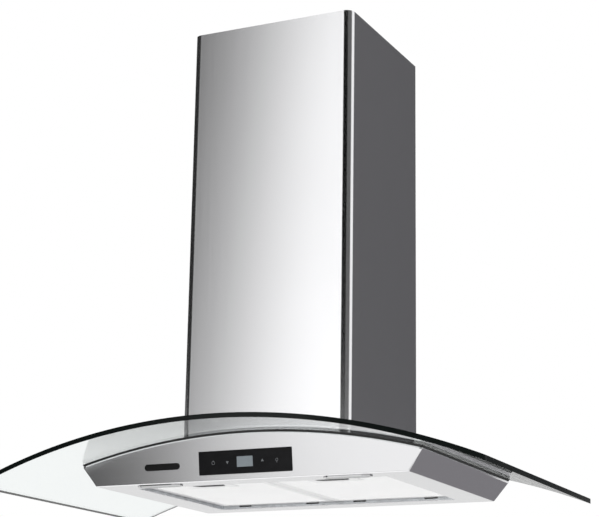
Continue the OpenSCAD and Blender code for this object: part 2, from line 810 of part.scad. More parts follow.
// The lead from the touch board, back over the filters and up inside the blower box.
module wire_harness() color(BLACK) hang() {
    inside_y = ring_open_d / 2 - 4;
    route = [
        [touch_lead_x, front_y + 9, panel_rise], [touch_lead_x, front_y + 24, body_h - 24],
        [harness_x, 4 - inside_y, body_h - 18], [harness_x, inside_y, body_h - 18],
        [harness_x, inside_y, lead_rise], [harness_x, box_d / 2 + 5, lead_rise]
    ];
    for (i = [0 : len(route) - 2]) hull() {
        translate(route[i]) sphere(r = lead_r, $fn = 16);
        translate(route[i + 1]) sphere(r = lead_r, $fn = 16);
    }
}

// ---------- touch control ----------

module touch_glass() color("#060607") hang() on_fascia() translate([0, panel_rise, -sheet])
    linear_extrude(sheet + 1) round_rect(panel_w, panel_h, 1);

module touch_holder() color(BLACK) hang() on_fascia() translate([0, panel_rise, -sheet - 6]) difference() {
    linear_extrude(6) square([panel_w + 12, panel_h + 6], center = true);
    translate([0, 0, 1.5]) linear_extrude(6) square([panel_w - 8, panel_h - 8], center = true);
    translate([touch_lead_x, 0, -1]) cylinder(r = 4, h = 4);
}

module touch_board() color("#1f6b3a") hang() on_fascia() translate([0, panel_rise, -sheet - 4.5])
    linear_extrude(1.6) square([panel_w - 9, panel_h - 9], center = true);

module display_module() color("#aebfca") hang() on_fascia() translate([0, panel_rise, -sheet - 2.9])
    linear_extrude(2.8) square([34, 22], center = true);

module badge() color(BLACK) hang() on_fascia() translate([badge_x, badge_rise, 0])
    linear_extrude(badge_t) oblong(badge_l, badge_w);

// ---------- lamps ----------

module lamp_places() both_sides() translate([lamp_x, lamp_y, 0]) children();

module lamp_bezels() color("#d9dadc") hang() lamp_places() difference() {
    union() {
        translate([0, 0, -lamp_wall]) linear_extrude(lamp_wall) oblong(lamp_l, lamp_w);
        translate([0, 0, -EPS]) linear_extrude(lamp_h) lamp_2d(lamp_in);
    }
    translate([0, 0, -lamp_wall - 0.5]) linear_extrude(lamp_h) lamp_2d(lamp_in + lamp_wall);
}

// A lamp's outline, moved in from the bezel's edge.
module lamp_2d(inset) oblong(lamp_l - 2 * inset, lamp_w - 2 * inset);

module lamp_lenses() color("#fbfaf3") hang() lamp_places() translate([0, 0, -1])
    linear_extrude(2) lamp_2d(lamp_in + lamp_wall);

module lamp_boards() color("#f3f3ee") hang() lamp_places() {
    board_z = lamp_h - 3.6;
    led = 5;
    translate([0, 0, board_z]) linear_extrude(1.6) lamp_2d(lamp_in + lamp_wall + 0.5);
    for (i = [-1 : 1]) translate([24 * i - led / 2, -led / 2, board_z - 1.4]) cube([led, led, 1.4 + EPS]);
}

// ---------- grease filters ----------

// Local origin: the middle of a filter's front lower edge.
module at_filter(side) translate([side * filter_x, filter_y, filter_recess]) children();

module filter_frame() {
    inner_w = filter_w - 2 * filter_rim;
    inner_d = filter_d - 2 * filter_rim;
    difference() {
        union() {
            difference() {
                translate([-filter_w / 2, 0, 0]) cube([filter_w, filter_d, filter_t]);
                translate([-inner_w / 2, filter_rim, -1]) cube([inner_w, inner_d, filter_t + 2]);
            }
            translate([-bay_w / 2, filter_rim - 1, 0]) cube([bay_w, bay_l + 1, 1.2]);
            for (s = [-1, 1]) translate([s * tab_x - tab_w / 2, filter_d - 1, 0])
                cube([tab_w, 1 + rear_play + sheet + tab_reach, tab_t]);
        }
        translate([0, pocket_y, -1]) linear_extrude(4) oblong(pocket_l, pocket_w);
        translate([-strip_w / 2 - strip_play, -1, strip_z - strip_play])
            cube([strip_w + 2 * strip_play, filter_rim + 2, strip_t + 2 * strip_play]);
    }
}

module filter_plan_2d() difference() {
    translate([-filter_w / 2 + filter_rim, filter_rim])
        square([filter_w - 2 * filter_rim, filter_d - 2 * filter_rim]);
    translate([-bay_w / 2, filter_rim - 1]) square([bay_w, bay_l + 1]);
}

module filter_mesh() for (z = [0.6, filter_t - 0.6 - mesh_t])
    translate([0, 0, z]) linear_extrude(mesh_t) filter_plan_2d();

module filter_core() translate([0, 0, (filter_t - core_t) / 2]) linear_extrude(core_t) filter_plan_2d();

module latch_cup() difference() {
    translate([0, pocket_y, 1.2]) linear_extrude(filter_t - 2)
        oblong(pocket_l + 2 * cup_wall, pocket_w + 2 * cup_wall);
    translate([0, pocket_y, 0]) linear_extrude(filter_t - 2) oblong(pocket_l, pocket_w);
    translate([-strip_w / 2 - strip_play, 0, strip_z - strip_play])
        cube([strip_w + 2 * strip_play, pocket_y, strip_t + 2 * strip_play]);
}

module latch() {
    pull_y = pocket_y - latch_travel / 2;
    translate([-strip_w / 2, -tongue_out, strip_z]) cube([strip_w, pull_y + tongue_out + 1, strip_t]);
    translate([-20, pull_y, 0.6]) cube([40, 2.2, 5.6]);
}

module left_filter_frame() color("#c9cbcd") hang() at_filter(-1) filter_frame();
module left_filter_mesh() color("#b4b7ba") hang() at_filter(-1) filter_mesh();
module left_filter_core() color("#a4a7aa") hang() at_filter(-1) filter_core();
module left_latch_cup() color(BLACK) hang() at_filter(-1) latch_cup();
module left_latch() color("#55585b") hang() at_filter(-1) latch();
module right_filter_frame() color("#c9cbcd") hang() at_filter(1) filter_frame();
module right_filter_mesh() color("#b4b7ba") hang() at_filter(1) filter_mesh();
module right_filter_core() color("#a4a7aa") hang() at_filter(1) filter_core();
module right_latch_cup() color(BLACK) hang() at_filter(1) latch_cup();
module right_latch() color("#55585b") hang() at_filter(1) latch();

// ---------- what is drawn ----------

ceiling_plate();
upper_uprights();
frame_straps();
upper_chimney_front();
upper_chimney_rear();
upper_cover_screws();
lower_chimney_front();
lower_chimney_rear();
lower_cover_screws();
lower_uprights();
upright_bolts();
support_ring();
upper_pad();
glass_canopy();
glass_bushes();
lower_pad();
glass_clamp_bolts();
glass_gasket();
top_skin();
canopy_shell();
filter_surround();
blower_box();
volute_left();
volute_right();
fan_wheel();
motor_shaft();
motor_can();
motor_end_cap();
motor_bracket();
motor_bushes();
capacitor();
outlet_collar();
damper_pins();
damper_flap_front();
damper_flap_rear();
power_box();
power_box_lid();
power_board();
terminal_block();
cord_gland();
wire_harness();
touch_glass();
touch_holder();
touch_board();
display_module();
badge();
lamp_bezels();
lamp_lenses();
lamp_boards();
left_filter_frame();
left_filter_mesh();
left_filter_core();
left_latch_cup();
left_latch();
right_filter_frame();
right_filter_mesh();
right_filter_core();
right_latch_cup();
right_latch();
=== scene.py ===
import json
import math
from contextlib import contextmanager

import bmesh
import bpy
from bpy.props import FloatProperty, FloatVectorProperty, PointerProperty
from bpy.types import Operator, Panel, PropertyGroup
from mathutils import Matrix, Vector

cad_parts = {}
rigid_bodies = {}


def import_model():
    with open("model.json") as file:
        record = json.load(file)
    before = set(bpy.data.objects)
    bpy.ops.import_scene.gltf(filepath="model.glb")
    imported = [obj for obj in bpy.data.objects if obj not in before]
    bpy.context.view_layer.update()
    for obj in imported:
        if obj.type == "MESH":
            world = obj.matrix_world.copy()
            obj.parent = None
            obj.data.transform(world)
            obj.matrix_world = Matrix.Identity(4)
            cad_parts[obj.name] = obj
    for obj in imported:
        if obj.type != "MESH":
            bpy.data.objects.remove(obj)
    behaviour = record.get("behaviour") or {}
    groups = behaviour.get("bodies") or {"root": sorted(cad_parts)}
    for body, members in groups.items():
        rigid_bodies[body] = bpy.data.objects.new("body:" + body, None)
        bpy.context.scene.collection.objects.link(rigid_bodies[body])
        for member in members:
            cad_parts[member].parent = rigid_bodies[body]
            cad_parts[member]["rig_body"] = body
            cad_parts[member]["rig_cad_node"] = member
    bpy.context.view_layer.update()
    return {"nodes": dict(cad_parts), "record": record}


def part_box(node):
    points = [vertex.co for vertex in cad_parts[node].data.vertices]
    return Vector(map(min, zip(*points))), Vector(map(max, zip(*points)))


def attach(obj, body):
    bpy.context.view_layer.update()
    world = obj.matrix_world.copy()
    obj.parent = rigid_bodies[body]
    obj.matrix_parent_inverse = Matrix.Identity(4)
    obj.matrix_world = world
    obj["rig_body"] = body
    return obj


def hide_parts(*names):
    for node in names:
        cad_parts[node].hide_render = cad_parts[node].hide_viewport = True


bl_info = {
    "name": "Island Range Hood",
    "version": (1, 0, 0),
    "blender": (4, 5, 0),
    "location": "View3D > Sidebar > Range Hood",
    "description": "Finishes a glass-canopy range hood round its packed frame and sets up its studio",
    "category": "Add Mesh",
}

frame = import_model()
MM = 0.001
WELD = 1e-6         # vertices closer than this are one
ON_PLANE = 1e-5     # a vertex this near a plane lies on it
FACING = 0.9        # how much of a normal or an edge's way must lie along an axis to point that way
SQUARE_ON = 0.99    # the same, for flat faces beside rounded ones
UPRIGHT = 2         # the number of the Z axis, along which most pieces have rounded edges
OBLONG = 1.0        # a corner radius past any piece's half width, which makes its ends half round
STRIP = 10 * MM     # width of the thin strip that a spin starts from


# ---------- measuring the frame ----------

def corners(points):
    """The lowest and highest corner of some points."""
    return (Vector([min(p[i] for p in points) for i in range(3)]),
            Vector([max(p[i] for p in points) for i in range(3)]))


def reach(node, test=None, seen_from=None):
    """The box of a CAD node's vertices, or of those that pass a test, in a frame of its own if given."""
    points = [v.co for v in frame["nodes"][node].data.vertices]
    if seen_from is not None:
        into = seen_from.inverted()
        points = [into @ p for p in points]
    return corners([p for p in points if test is None or test(p)])


def furthest(node, key):
    """The vertex of a CAD node that has the largest key."""
    return max((v.co for v in frame["nodes"][node].data.vertices), key=key)


def solids_of(node):
    """The boxes of a CAD node's separate solids, in a fixed order."""
    mesh = bmesh.new()
    mesh.from_mesh(frame["nodes"][node].data)
    bmesh.ops.remove_doubles(mesh, verts=mesh.verts, dist=WELD)
    left, boxes = set(mesh.verts), []
    while left:
        queue, group = [left.pop()], []
        while queue:
            vertex = queue.pop()
            group.append(vertex.co.copy())
            for edge in vertex.link_edges:
                other = edge.other_vert(vertex)
                if other in left:
                    left.remove(other)
                    queue.append(other)
        boxes.append(corners(group))
    mesh.free()
    return sorted(boxes, key=lambda box: [round(x, 5) for corner in box for x in corner])


def body_of(node):
    """The name of the body that a CAD node rides on."""
    return frame["nodes"][node]["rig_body"]


# ---------- modelling ----------

def deselect():
    """Leaves object mode with nothing selected."""
    if bpy.context.mode != "OBJECT":
        bpy.ops.object.mode_set(mode="OBJECT")
    bpy.ops.object.select_all(action="DESELECT")


def only(piece):
    """Makes a piece the one selected, active object."""
    deselect()
    piece.select_set(True)
    bpy.context.view_layer.objects.active = piece
    return piece


def bake_place(piece):
    """Moves a piece's place, turn and size into its mesh."""
    only(piece)
    bpy.ops.object.transform_apply(location=True, rotation=True, scale=True)
    return piece


def add(kind, name, at=(0, 0, 0), turn=(0, 0, 0), scale=(1, 1, 1), **settings):
    """Adds a mesh primitive at its size and place."""
    deselect()
    getattr(bpy.ops.mesh, f"primitive_{kind}_add")(location=at, rotation=turn, **settings)
    piece = bpy.context.active_object
    piece.name = piece.data.name = name
    piece.scale = scale
    return bake_place(piece)


def slab(name, low, high):
    """A box between two corners."""
    low, high = Vector(low), Vector(high)
    return add("cube", name, at=(low + high) / 2, scale=high - low, size=1)


@contextmanager
def editing(piece):
    """Edit mode on one piece."""
    only(piece)
    bpy.ops.object.mode_set(mode="EDIT")
    yield
    bpy.ops.object.mode_set(mode="OBJECT")


def pick(piece, kind, test):
    """In edit mode, selects the vertices, edges or faces that pass a test of their middle and normal.

    For an edge the test gets the way it runs instead of a normal.
    """
    bpy.ops.mesh.select_mode(type=kind)
    bpy.ops.mesh.select_all(action="DESELECT")
    mesh = bmesh.from_edit_mesh(piece.data)
    mesh.normal_update()
    for item in {"VERT": mesh.verts, "EDGE": mesh.edges, "FACE": mesh.faces}[kind]:
        if kind == "VERT":
            middle, way = item.co, item.normal
        elif kind == "EDGE":
            first, second = item.verts
            middle, way = (first.co + second.co) / 2, (second.co - first.co).normalized()
        else:
            middle, way = item.calc_center_median(), item.normal
        if test(middle, way):
            item.select_set(True)
    mesh.select_flush_mode()
    bmesh.update_edit_mesh(piece.data)


def rounded(name, low, high, axis, radius, segments=12):
    """A box with the four edges along one axis rounded; a radius of half its width makes an oblong."""
    piece = slab(name, low, high)
    sides = sorted(abs(high[i] - low[i]) for i in range(3) if i != axis)
    with editing(piece):
        pick(piece, "EDGE", lambda middle, way: abs(way[axis]) > SQUARE_ON)
        bpy.ops.mesh.bevel(offset=min(radius, sides[0] * 0.4999), segments=segments, affect="EDGES")
    return piece


def modify(piece, kind, **settings):
    """Adds a modifier, sets it and applies it."""
    only(piece)
    modifier = piece.modifiers.new(kind.title(), kind)
    for key, value in settings.items():
        setattr(modifier, key, value)
    bpy.ops.object.modifier_apply(modifier=modifier.name)
    return piece


def cut(piece, *tools, operation="DIFFERENCE"):
    """Cuts a piece with others, which are used up."""
    for tool in tools:
        modify(piece, "BOOLEAN", object=tool, operation=operation, solver="EXACT")
        bpy.data.objects.remove(tool)
    return piece


def join(piece, *others):
    """Joins other pieces into one."""
    only(piece)
    for other in others:
        other.select_set(True)
    bpy.ops.object.join()
    return piece


def copy(piece, name, place=None):
    """A copy of a piece with its own mesh, moved by a matrix."""
    twin = piece.copy()
    twin.data = piece.data.copy()
    twin.name = twin.data.name = name
    bpy.context.scene.collection.objects.link(twin)
    if place is not None:
        twin.data.transform(place)
    return twin


def soften(piece, width, segments=2, angle=35):
    """Rounds a piece's sharp edges and shades it smoothly."""
    if width:
        modify(piece, "BEVEL", width=width, segments=segments, limit_method="ANGLE",
               angle_limit=math.radians(angle), use_clamp_overlap=True, harden_normals=False)
    only(piece)
    bpy.ops.object.shade_smooth_by_angle(angle=math.radians(angle))
    return modify(piece, "WEIGHTED_NORMAL", keep_sharp=True, weight=100)


def deliver(piece, slot, body, *nodes, look=None):
    """Hands a finished piece over: its finish, the body it rides on and the CAD nodes it stands for."""
    piece.data.materials.clear()
    piece.data.materials.append(look or finish(slot))
    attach(piece, body)
    if nodes:
        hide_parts(*nodes)
    return piece


# ---------- finishes ----------

class Wire:
    """A node's output in a finish, with arithmetic that adds Math nodes."""

    def __init__(self, maker, socket):
        self.maker, self.socket = maker, socket

    def out(self, which):
        """Another output of the same node."""
        return Wire(self.maker, self.socket.node.outputs[which])

    def math(self, operation, *values):
        return self.maker.node("ShaderNodeMath", {"operation": operation}, dict(enumerate(values)))

    def __add__(self, other):
        return self.math("ADD", self, other)

    def __sub__(self, other):
        return self.math("SUBTRACT", self, other)

    def __mul__(self, other):
        return self.math("MULTIPLY", self, other)

    def __rsub__(self, other):
        return self.math("SUBTRACT", other, self)

    __radd__, __rmul__ = __add__, __mul__

    def above(self, limit):
        """One where the value is above a limit, otherwise zero."""
        return self.math("GREATER_THAN", self, limit)


class Finish:
    """A procedural material: a Principled shader and the nodes that feed it."""

    def __init__(self, name, **constants):
        self.material = bpy.data.materials.new(name)
        self.material.use_nodes = True
        self.tree = self.material.node_tree
        self.shader = self.tree.nodes["Principled BSDF"]
        self.set(**constants)

    def set(self, **sockets):
        """Feeds the shader's sockets, named with _ for each space."""
        for name, value in sockets.items():
            self.feed(self.shader.inputs[name.replace("_", " ")], value)
        return self

    def feed(self, socket, value):
        if isinstance(value, Wire):
            self.tree.links.new(value.socket, socket)
        elif hasattr(socket.default_value, "__len__") and len(socket.default_value) == 4:
            socket.default_value = (*value[:3], 1.0)
        else:
            socket.default_value = value

    def node(self, kind, settings, sockets):
        """Adds any node: its settings first, then the values or wires of its sockets, by name or number."""
        made = self.tree.nodes.new(kind)
        for key, value in settings.items():
            if key == "stops":
                self.stops(made.color_ramp, value)
            else:
                setattr(made, key, value)
        for key, value in sockets.items():
            self.feed(made.inputs[key], value)
        return Wire(self, made.outputs[0])

    @staticmethod
    def stops(ramp, stops):
        while len(ramp.elements) < len(stops):
            ramp.elements.new(0.5)
        for element, (position, level) in zip(ramp.elements, stops):
            element.position, element.color = position, (level, level, level, 1)

    def place(self, scale=(1, 1, 1), turn=(0, 0, 0)):
        """Object coordinates, stretched and turned."""
        where = self.node("ShaderNodeTexCoord", {}, {}).out("Object")
        return self.node("ShaderNodeMapping", {}, {"Vector": where, "Scale": scale, "Rotation": turn})

    def noise(self, scale, detail=2.0, stretch=(1, 1, 1)):
        return self.node("ShaderNodeTexNoise", {},
                         {"Vector": self.place(stretch), "Scale": scale, "Detail": detail})

    def cells(self, scale, feature="F1", stretch=(1, 1, 1)):
        return self.node("ShaderNodeTexVoronoi", {"feature": feature},
                         {"Vector": self.place(stretch), "Scale": scale})

    def ramp(self, value, *stops):
        return self.node("ShaderNodeValToRGB", {"stops": stops}, {0: value})

    def mix(self, factor, first, second):
        """A colour between two."""
        return self.node("ShaderNodeMix", {"data_type": "RGBA"}, {0: factor, 6: first, 7: second}).out(2)

    def bump(self, height, distance, strength=1.0):
        self.set(Normal=self.node("ShaderNodeBump", {},
                                  {"Height": height, "Distance": distance, "Strength": strength}))
        return self


def shade(colour, factor):
    """A colour made darker or lighter."""
    return tuple(min(1.0, channel * factor) for channel in colour[:3])


GRAIN = {"X": (0.01, 1, 1), "Y": (1, 0.01, 1), "Z": (1, 1, 0.01)}


def brushed(name, colour, grain, roughness):
    """Brushed sheet: hair-fine lines along one axis, and faint clouding from handling."""
    made = Finish(name, Metallic=1.0)
    hair = made.noise(1400, 3, GRAIN[grain])
    streak = made.noise(160, 2, GRAIN[grain])
    cloud = made.noise(5, 3)
    made.set(Base_Color=made.mix(hair * 0.6 + streak * 0.4, shade(colour, 0.96), shade(colour, 1.04)),
             Roughness=hair * 0.05 + streak * 0.03 + cloud * 0.03 + (roughness - 0.055))
    return made.bump(hair, 0.00002, 0.2).material


def galvanised(name, colour):
    """Hot-dip zinc: a spangle of flat crystals, each with its own shade."""
    made = Finish(name, Metallic=1.0)
    spangle = made.cells(110, stretch=(1, 1.3, 1.1)).out("Color")
    tone = made.node("ShaderNodeSeparateColor", {}, {0: spangle})
    dust = made.noise(60, 4)
    made.set(Base_Color=made.mix(tone * 0.7 + dust * 0.3, shade(colour, 0.78), shade(colour, 1.12)),
             Roughness=tone * 0.14 + dust * 0.12 + 0.3)
    return made.bump(dust, 0.00008, 0.4).material


def plated(name, colour, roughness=0.26):
    """Plated fasteners: a soft sheen with a warm cast that comes and goes."""
    made = Finish(name, Metallic=1.0)
    cast = made.noise(140, 3)
    made.set(Base_Color=made.mix(cast, shade(colour, 0.86), (colour[0], colour[1] * 0.98, colour[2] * 0.9)),
             Roughness=cast * 0.14 + (roughness - 0.06))
    return made.bump(made.noise(900, 2), 0.00004, 0.5).material


def moulded(name, colour, roughness=0.48, grain=2600, depth=0.00005, **constants):
    """Moulded plastic or rubber: a fine spark-eroded grain and slightly uneven gloss."""
    made = Finish(name, **constants)
    patch = made.noise(26, 3)
    made.set(Base_Color=made.mix(patch, shade(colour, 0.9), shade(colour, 1.08)),
             Roughness=patch * 0.12 + (roughness - 0.06))
    return made.bump(made.noise(grain, 2), depth, 0.6).material


def drawn(name, colour):
    """Deep-drawn cover: fine rings round the motor's own axis."""
    made = Finish(name, Metallic=1.0)
    rings = made.noise(1500, 2, (1, 0.004, 0.004))
    made.set(Base_Color=made.mix(rings, shade(colour, 0.88), shade(colour, 1.06)), Roughness=rings * 0.18 + 0.24)
    return made.bump(rings, 0.00004, 0.5).material


def circuit(name, colour):
    """Printed board: tracks under the solder mask, with pads that shine through."""
    made = Finish(name, Specular_IOR_Level=0.55)
    tracks = made.ramp(made.cells(130, "DISTANCE_TO_EDGE", (1, 0.2, 1.6)), (0.02, 0.0), (0.05, 1.0))
    pads = made.cells(170).above(0.33)
    masked = made.mix(tracks, shade(colour, 1.7), colour)
    made.set(Base_Color=made.mix(pads, masked, (0.72, 0.66, 0.45)), Roughness=0.34 + pads * 0.1)
    return made.bump(tracks, 0.00004, 0.4).material


def touch_black(name, colour):
    """Back-painted glass: near black, very smooth, with faint smears from fingers."""
    made = Finish(name, Specular_IOR_Level=0.1, Coat_Roughness=0.03, IOR=1.5)
    smear = made.noise(38, 4, (1, 1, 2.2))
    made.set(Base_Color=made.mix(smear, shade(colour, 0.8), shade(colour, 1.3)),
             Roughness=made.ramp(smear, (0.45, 0.04), (0.8, 0.16)), Coat_Weight=smear * 0.1)
    return made.material


def liquid_crystal(name, colour):
    """A display behind the glass: a pale grey-blue field with a fine dot grid."""
    made = Finish(name, Roughness=0.22, Emission_Strength=0.08)
    grid = made.noise(1800, 1)
    glow = made.noise(30, 1)
    field = made.mix(glow * 0.6 + grid * 0.2, shade(colour, 0.88), shade(colour, 1.12))
    return made.set(Base_Color=field, Emission_Color=field).material


def polished(name, colour):
    """Chrome trim with a trace of fine polishing marks."""
    made = Finish(name, Metallic=1.0)
    marks = made.noise(420, 3, (1, 0.15, 1))
    return made.set(Base_Color=made.mix(marks, shade(colour, 0.95), shade(colour, 1.06)),
                    Roughness=marks * 0.1 + 0.05).material


def diffuser(name, colour):
    """Frosted lamp cover: milky, with tiny prisms on its face."""
    made = Finish(name, Subsurface_Weight=0.25, Subsurface_Radius=(0.003, 0.003, 0.002), Coat_Weight=0.2)
    prisms = made.cells(520)
    made.set(Base_Color=made.mix(prisms, colour, shade(colour, 0.9)), Roughness=0.42 + prisms * 0.1)
    return made.bump(prisms, 0.0002, 0.5).material


def satin_aluminium(name, colour):
    """Aluminium as it leaves the mill, with a dull film where fumes have passed."""
    made = Finish(name, Metallic=1.0)
    mill = made.noise(900, 3, GRAIN["Y"])
    film = made.noise(18, 4)
    tint = made.mix(film, colour, shade(colour, 0.95))
    made.set(Base_Color=made.mix(mill * 0.4, tint, shade(colour, 1.1)),
             Roughness=0.26 + mill * 0.1 + film * 0.12)
    return made.bump(mill, 0.00003, 0.4).material


def clear_glass(name, colour):
    """Toughened glass, a breath of green in it, with the faint dust that it gathers."""
    made = Finish(name, Transmission_Weight=1.0, IOR=1.5)
    dust = made.noise(9, 4)
    return made.set(Base_Color=made.mix(dust, shade(colour, 1.0), shade(colour, 1.03)),
                    Roughness=made.ramp(dust, (0.4, 0.0), (0.9, 0.02))).material


def painted_dark_glass_edge(name, colour):
    """The glass's ground and polished rim, given a near-black colour that lets no light through: painted shade
    for the dark band that a clear glass edge shows.
    """
    made = Finish(name, IOR=1.5, Specular_IOR_Level=0.1, Coat_Weight=0.04, Coat_Roughness=0.04)
    grind = made.noise(300, 3, (0.2, 0.2, 3))
    return made.set(Base_Color=made.mix(grind, shade(colour, 0.6), shade(colour, 1.6)),
                    Roughness=grind * 0.15 + 0.08).material


def finish_makers():
    """What makes each material slot's finish, mostly from the record's colour for it; the steel and glass take
    the chosen colours, the lamp cover and filters fixed ones.
    """
    chosen = bpy.context.scene.hood_colours
    return {
        "brushed_stainless": lambda c: brushed("brushed_stainless_upright", chosen.steel, "Z", 0.17),
        "galvanised": lambda c: galvanised("galvanised_sheet", c),
        "zinc": lambda c: plated("zinc_plate", c),
        "rubber": lambda c: moulded("rubber_seal", c, 0.7, 1500, 0.00008),
        "clear_glass": lambda c: clear_glass("toughened_glass", chosen.glass),
        "nylon": lambda c: moulded("natural_nylon", c, 0.42, 1800, 0.00003, Subsurface_Weight=0.08,
                                   Subsurface_Radius=(0.002, 0.002, 0.0015)),
        "dark_plastic": lambda c: moulded("black_moulding", c, 0.45),
        "white_plastic": lambda c: moulded("white_moulding", c, 0.42),
        "motor_metal": lambda c: drawn("drawn_motor_cover", c),
        "board": lambda c: circuit("green_circuit_board", c),
        "lamp_board": lambda c: circuit("white_lamp_board", c),
        "black_glass": lambda c: touch_black("back_painted_glass", c),
        "display": lambda c: liquid_crystal("liquid_crystal", shade(c, 0.42)),
        "badge_black": lambda c: moulded("gloss_black_badge", shade(c, 0.4), 0.22, 600, 0.00001,
                                         Specular_IOR_Level=0.2),
        "chrome_trim": lambda c: polished("chrome_trim", shade(c, 0.62)),
        "frosted": lambda c: diffuser("frosted_diffuser", (0.56, 0.57, 0.58)),
        "filter_aluminium": lambda c: satin_aluminium("mill_aluminium", (0.9, 0.9, 0.9)),
        "latch_steel": lambda c: moulded("satin_black_latch", c, 0.4, 1200, 0.00003),
    }


FINISHES = {}


def finish(slot):
    """The finish of a material slot, made once from the record's colour."""
    if slot not in FINISHES:
        colours = {m["slot"]: m["base_color"] for m in frame["record"]["materials"]}
        FINISHES[slot] = finish_makers()[slot](colours[slot])
    return FINISHES[slot]


def fold_grain(grain):
    """Brushed steel with its lines along another axis."""
    key = "brushed_" + grain
    if key not in FINISHES:
        FINISHES[key] = brushed("brushed_stainless_along_" + grain.lower(),
                                bpy.context.scene.hood_colours.steel, grain, 0.18)
    return FINISHES[key]


# ---------- settings ----------

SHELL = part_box("canopy_shell")
SHELL_UNDER = reach("canopy_shell", lambda p: p.z < SHELL[0].z + ON_PLANE)
SHELL_SIDE = furthest("canopy_shell", lambda p: p.x)
SHELL_FRONT = furthest("canopy_shell", lambda p: -p.y)
SHELL_REAR = furthest("canopy_shell", lambda p: p.y)
UNDER = SHELL[0].z
SIDE_SLOPE = (SHELL_SIDE.x - SHELL_UNDER[1].x) / (SHELL_SIDE.z - UNDER)
FRONT_SLOPE = (SHELL_UNDER[0].y - SHELL_FRONT.y) / (SHELL_FRONT.z - UNDER)
REAR_SLOPE = (SHELL_REAR.y - SHELL_UNDER[1].y) / (SHELL_REAR.z - UNDER)
FASCIA = Matrix.Translation((0, SHELL_UNDER[0].y, UNDER)) @ Matrix.Rotation(
    math.pi / 2 + math.atan(FRONT_SLOPE), 4, "X")
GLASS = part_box("glass_canopy")
GLASS_TOP = reach("glass_canopy", lambda p: abs(p.x) < 0.2)[1].z


class HoodSizes(PropertyGroup):
    """Sizes of the hood that its boxes don't give."""
    arch_radius: FloatProperty(name="Glass radius", description="Radius of the glass's lower face",
                               default=1.22, min=0.8, unit="LENGTH")
    glass_thickness: FloatProperty(name="Glass thickness", description="Thickness of the glass",
                                   default=8 * MM, min=4 * MM, unit="LENGTH")
    glass_bow: FloatProperty(name="Front bow", description="Bow of the glass's front edge",
                             default=18 * MM, min=MM, unit="LENGTH")
    seal_gap: FloatProperty(name="Seal gap", description="Gap between the body's top edge and the glass",
                            default=4.2 * MM, min=0.5 * MM, unit="LENGTH")
    lip: FloatProperty(name="Top lip", description="Height of the chamfer on the body's top edge",
                       default=2.6 * MM, min=0.2 * MM, unit="LENGTH")
    sheet: FloatProperty(name="Body sheet", description="Thickness of the body's steel",
                         default=1.2 * MM, min=0.5 * MM, unit="LENGTH")
    cover_sheet: FloatProperty(name="Cover sheet", description="Thickness of the chimney covers",
                               default=1.0 * MM, min=0.5 * MM, unit="LENGTH")
    cover_radius: FloatProperty(name="Cover corner", description="Corner radius of the lower chimney",
                                default=15 * MM, min=5 * MM, unit="LENGTH")
    flange: FloatProperty(name="Cover flange", description="Width of a cover's flanges at the back",
                          default=40 * MM, min=10 * MM, unit="LENGTH")
    strand: FloatProperty(name="Filter strand", description="Width of a strand of the filters' mesh",
                          default=1.1 * MM, min=0.5 * MM, unit="LENGTH")
    cell: FloatProperty(name="Filter cell", description="Length of a diamond of the filters' mesh",
                        default=13 * MM, min=5 * MM, unit="LENGTH")


class HoodColours(PropertyGroup):
    """Colours of the hood that a user would change."""
    steel: FloatVectorProperty(name="Steel", description="Colour of the brushed stainless steel",
                               default=(0.74, 0.74, 0.75), min=0, max=1, subtype="COLOR")
    glass: FloatVectorProperty(name="Glass", description="Tint of the glass canopy",
                               default=(0.93, 0.96, 0.955), min=0, max=1, subtype="COLOR")
    # glass_rim is painted shade: a near-black colour for the clear glass's rim, standing for the dark band that
    # its edge shows
    glass_rim: FloatVectorProperty(name="Glass rim", description="Colour of the polished rim",
                                   default=(0.004, 0.006, 0.0055), min=0, max=1, subtype="COLOR")


class StudioSettings(PropertyGroup):
    """The camera and the light."""
    camera_place: FloatVectorProperty(name="Camera", description="Where the camera stands",
                                      default=(1.2915, -2.678, -1.2011), subtype="TRANSLATION", unit="LENGTH")
    yaw: FloatProperty(name="Yaw", description="How far the camera looks to the left of straight back",
                       default=math.radians(25.945), subtype="ANGLE")
    pitch: FloatProperty(name="Pitch", description="How far the camera looks up",
                         default=math.radians(15.146), subtype="ANGLE")
    roll: FloatProperty(name="Roll", description="How far the camera leans",
                        default=math.radians(0.927), subtype="ANGLE")
    lens: FloatProperty(name="Lens", description="Focal length on a 36 mm sensor, in millimetres",
                        default=103.34, min=20, subtype="DISTANCE_CAMERA")
    sky: FloatProperty(name="Room light", description="Strength of the white light from all round",
                       default=1.0, min=0)
    floor_drop: FloatProperty(name="Floor", description="How far below the ceiling the floor lies",
                              default=7.0, min=2, unit="LENGTH")


# ---------- the pieces ----------

def arch_tool(name, radius):
    """The long cylinder that the glass and all that touches it are curved to."""
    sizes = bpy.context.scene.hood_sizes
    centre = GLASS_TOP - sizes.glass_thickness - sizes.arch_radius
    return add("cylinder", name, at=(0, 0, centre), turn=(math.pi / 2, 0, 0),
               vertices=720, radius=radius, depth=3)


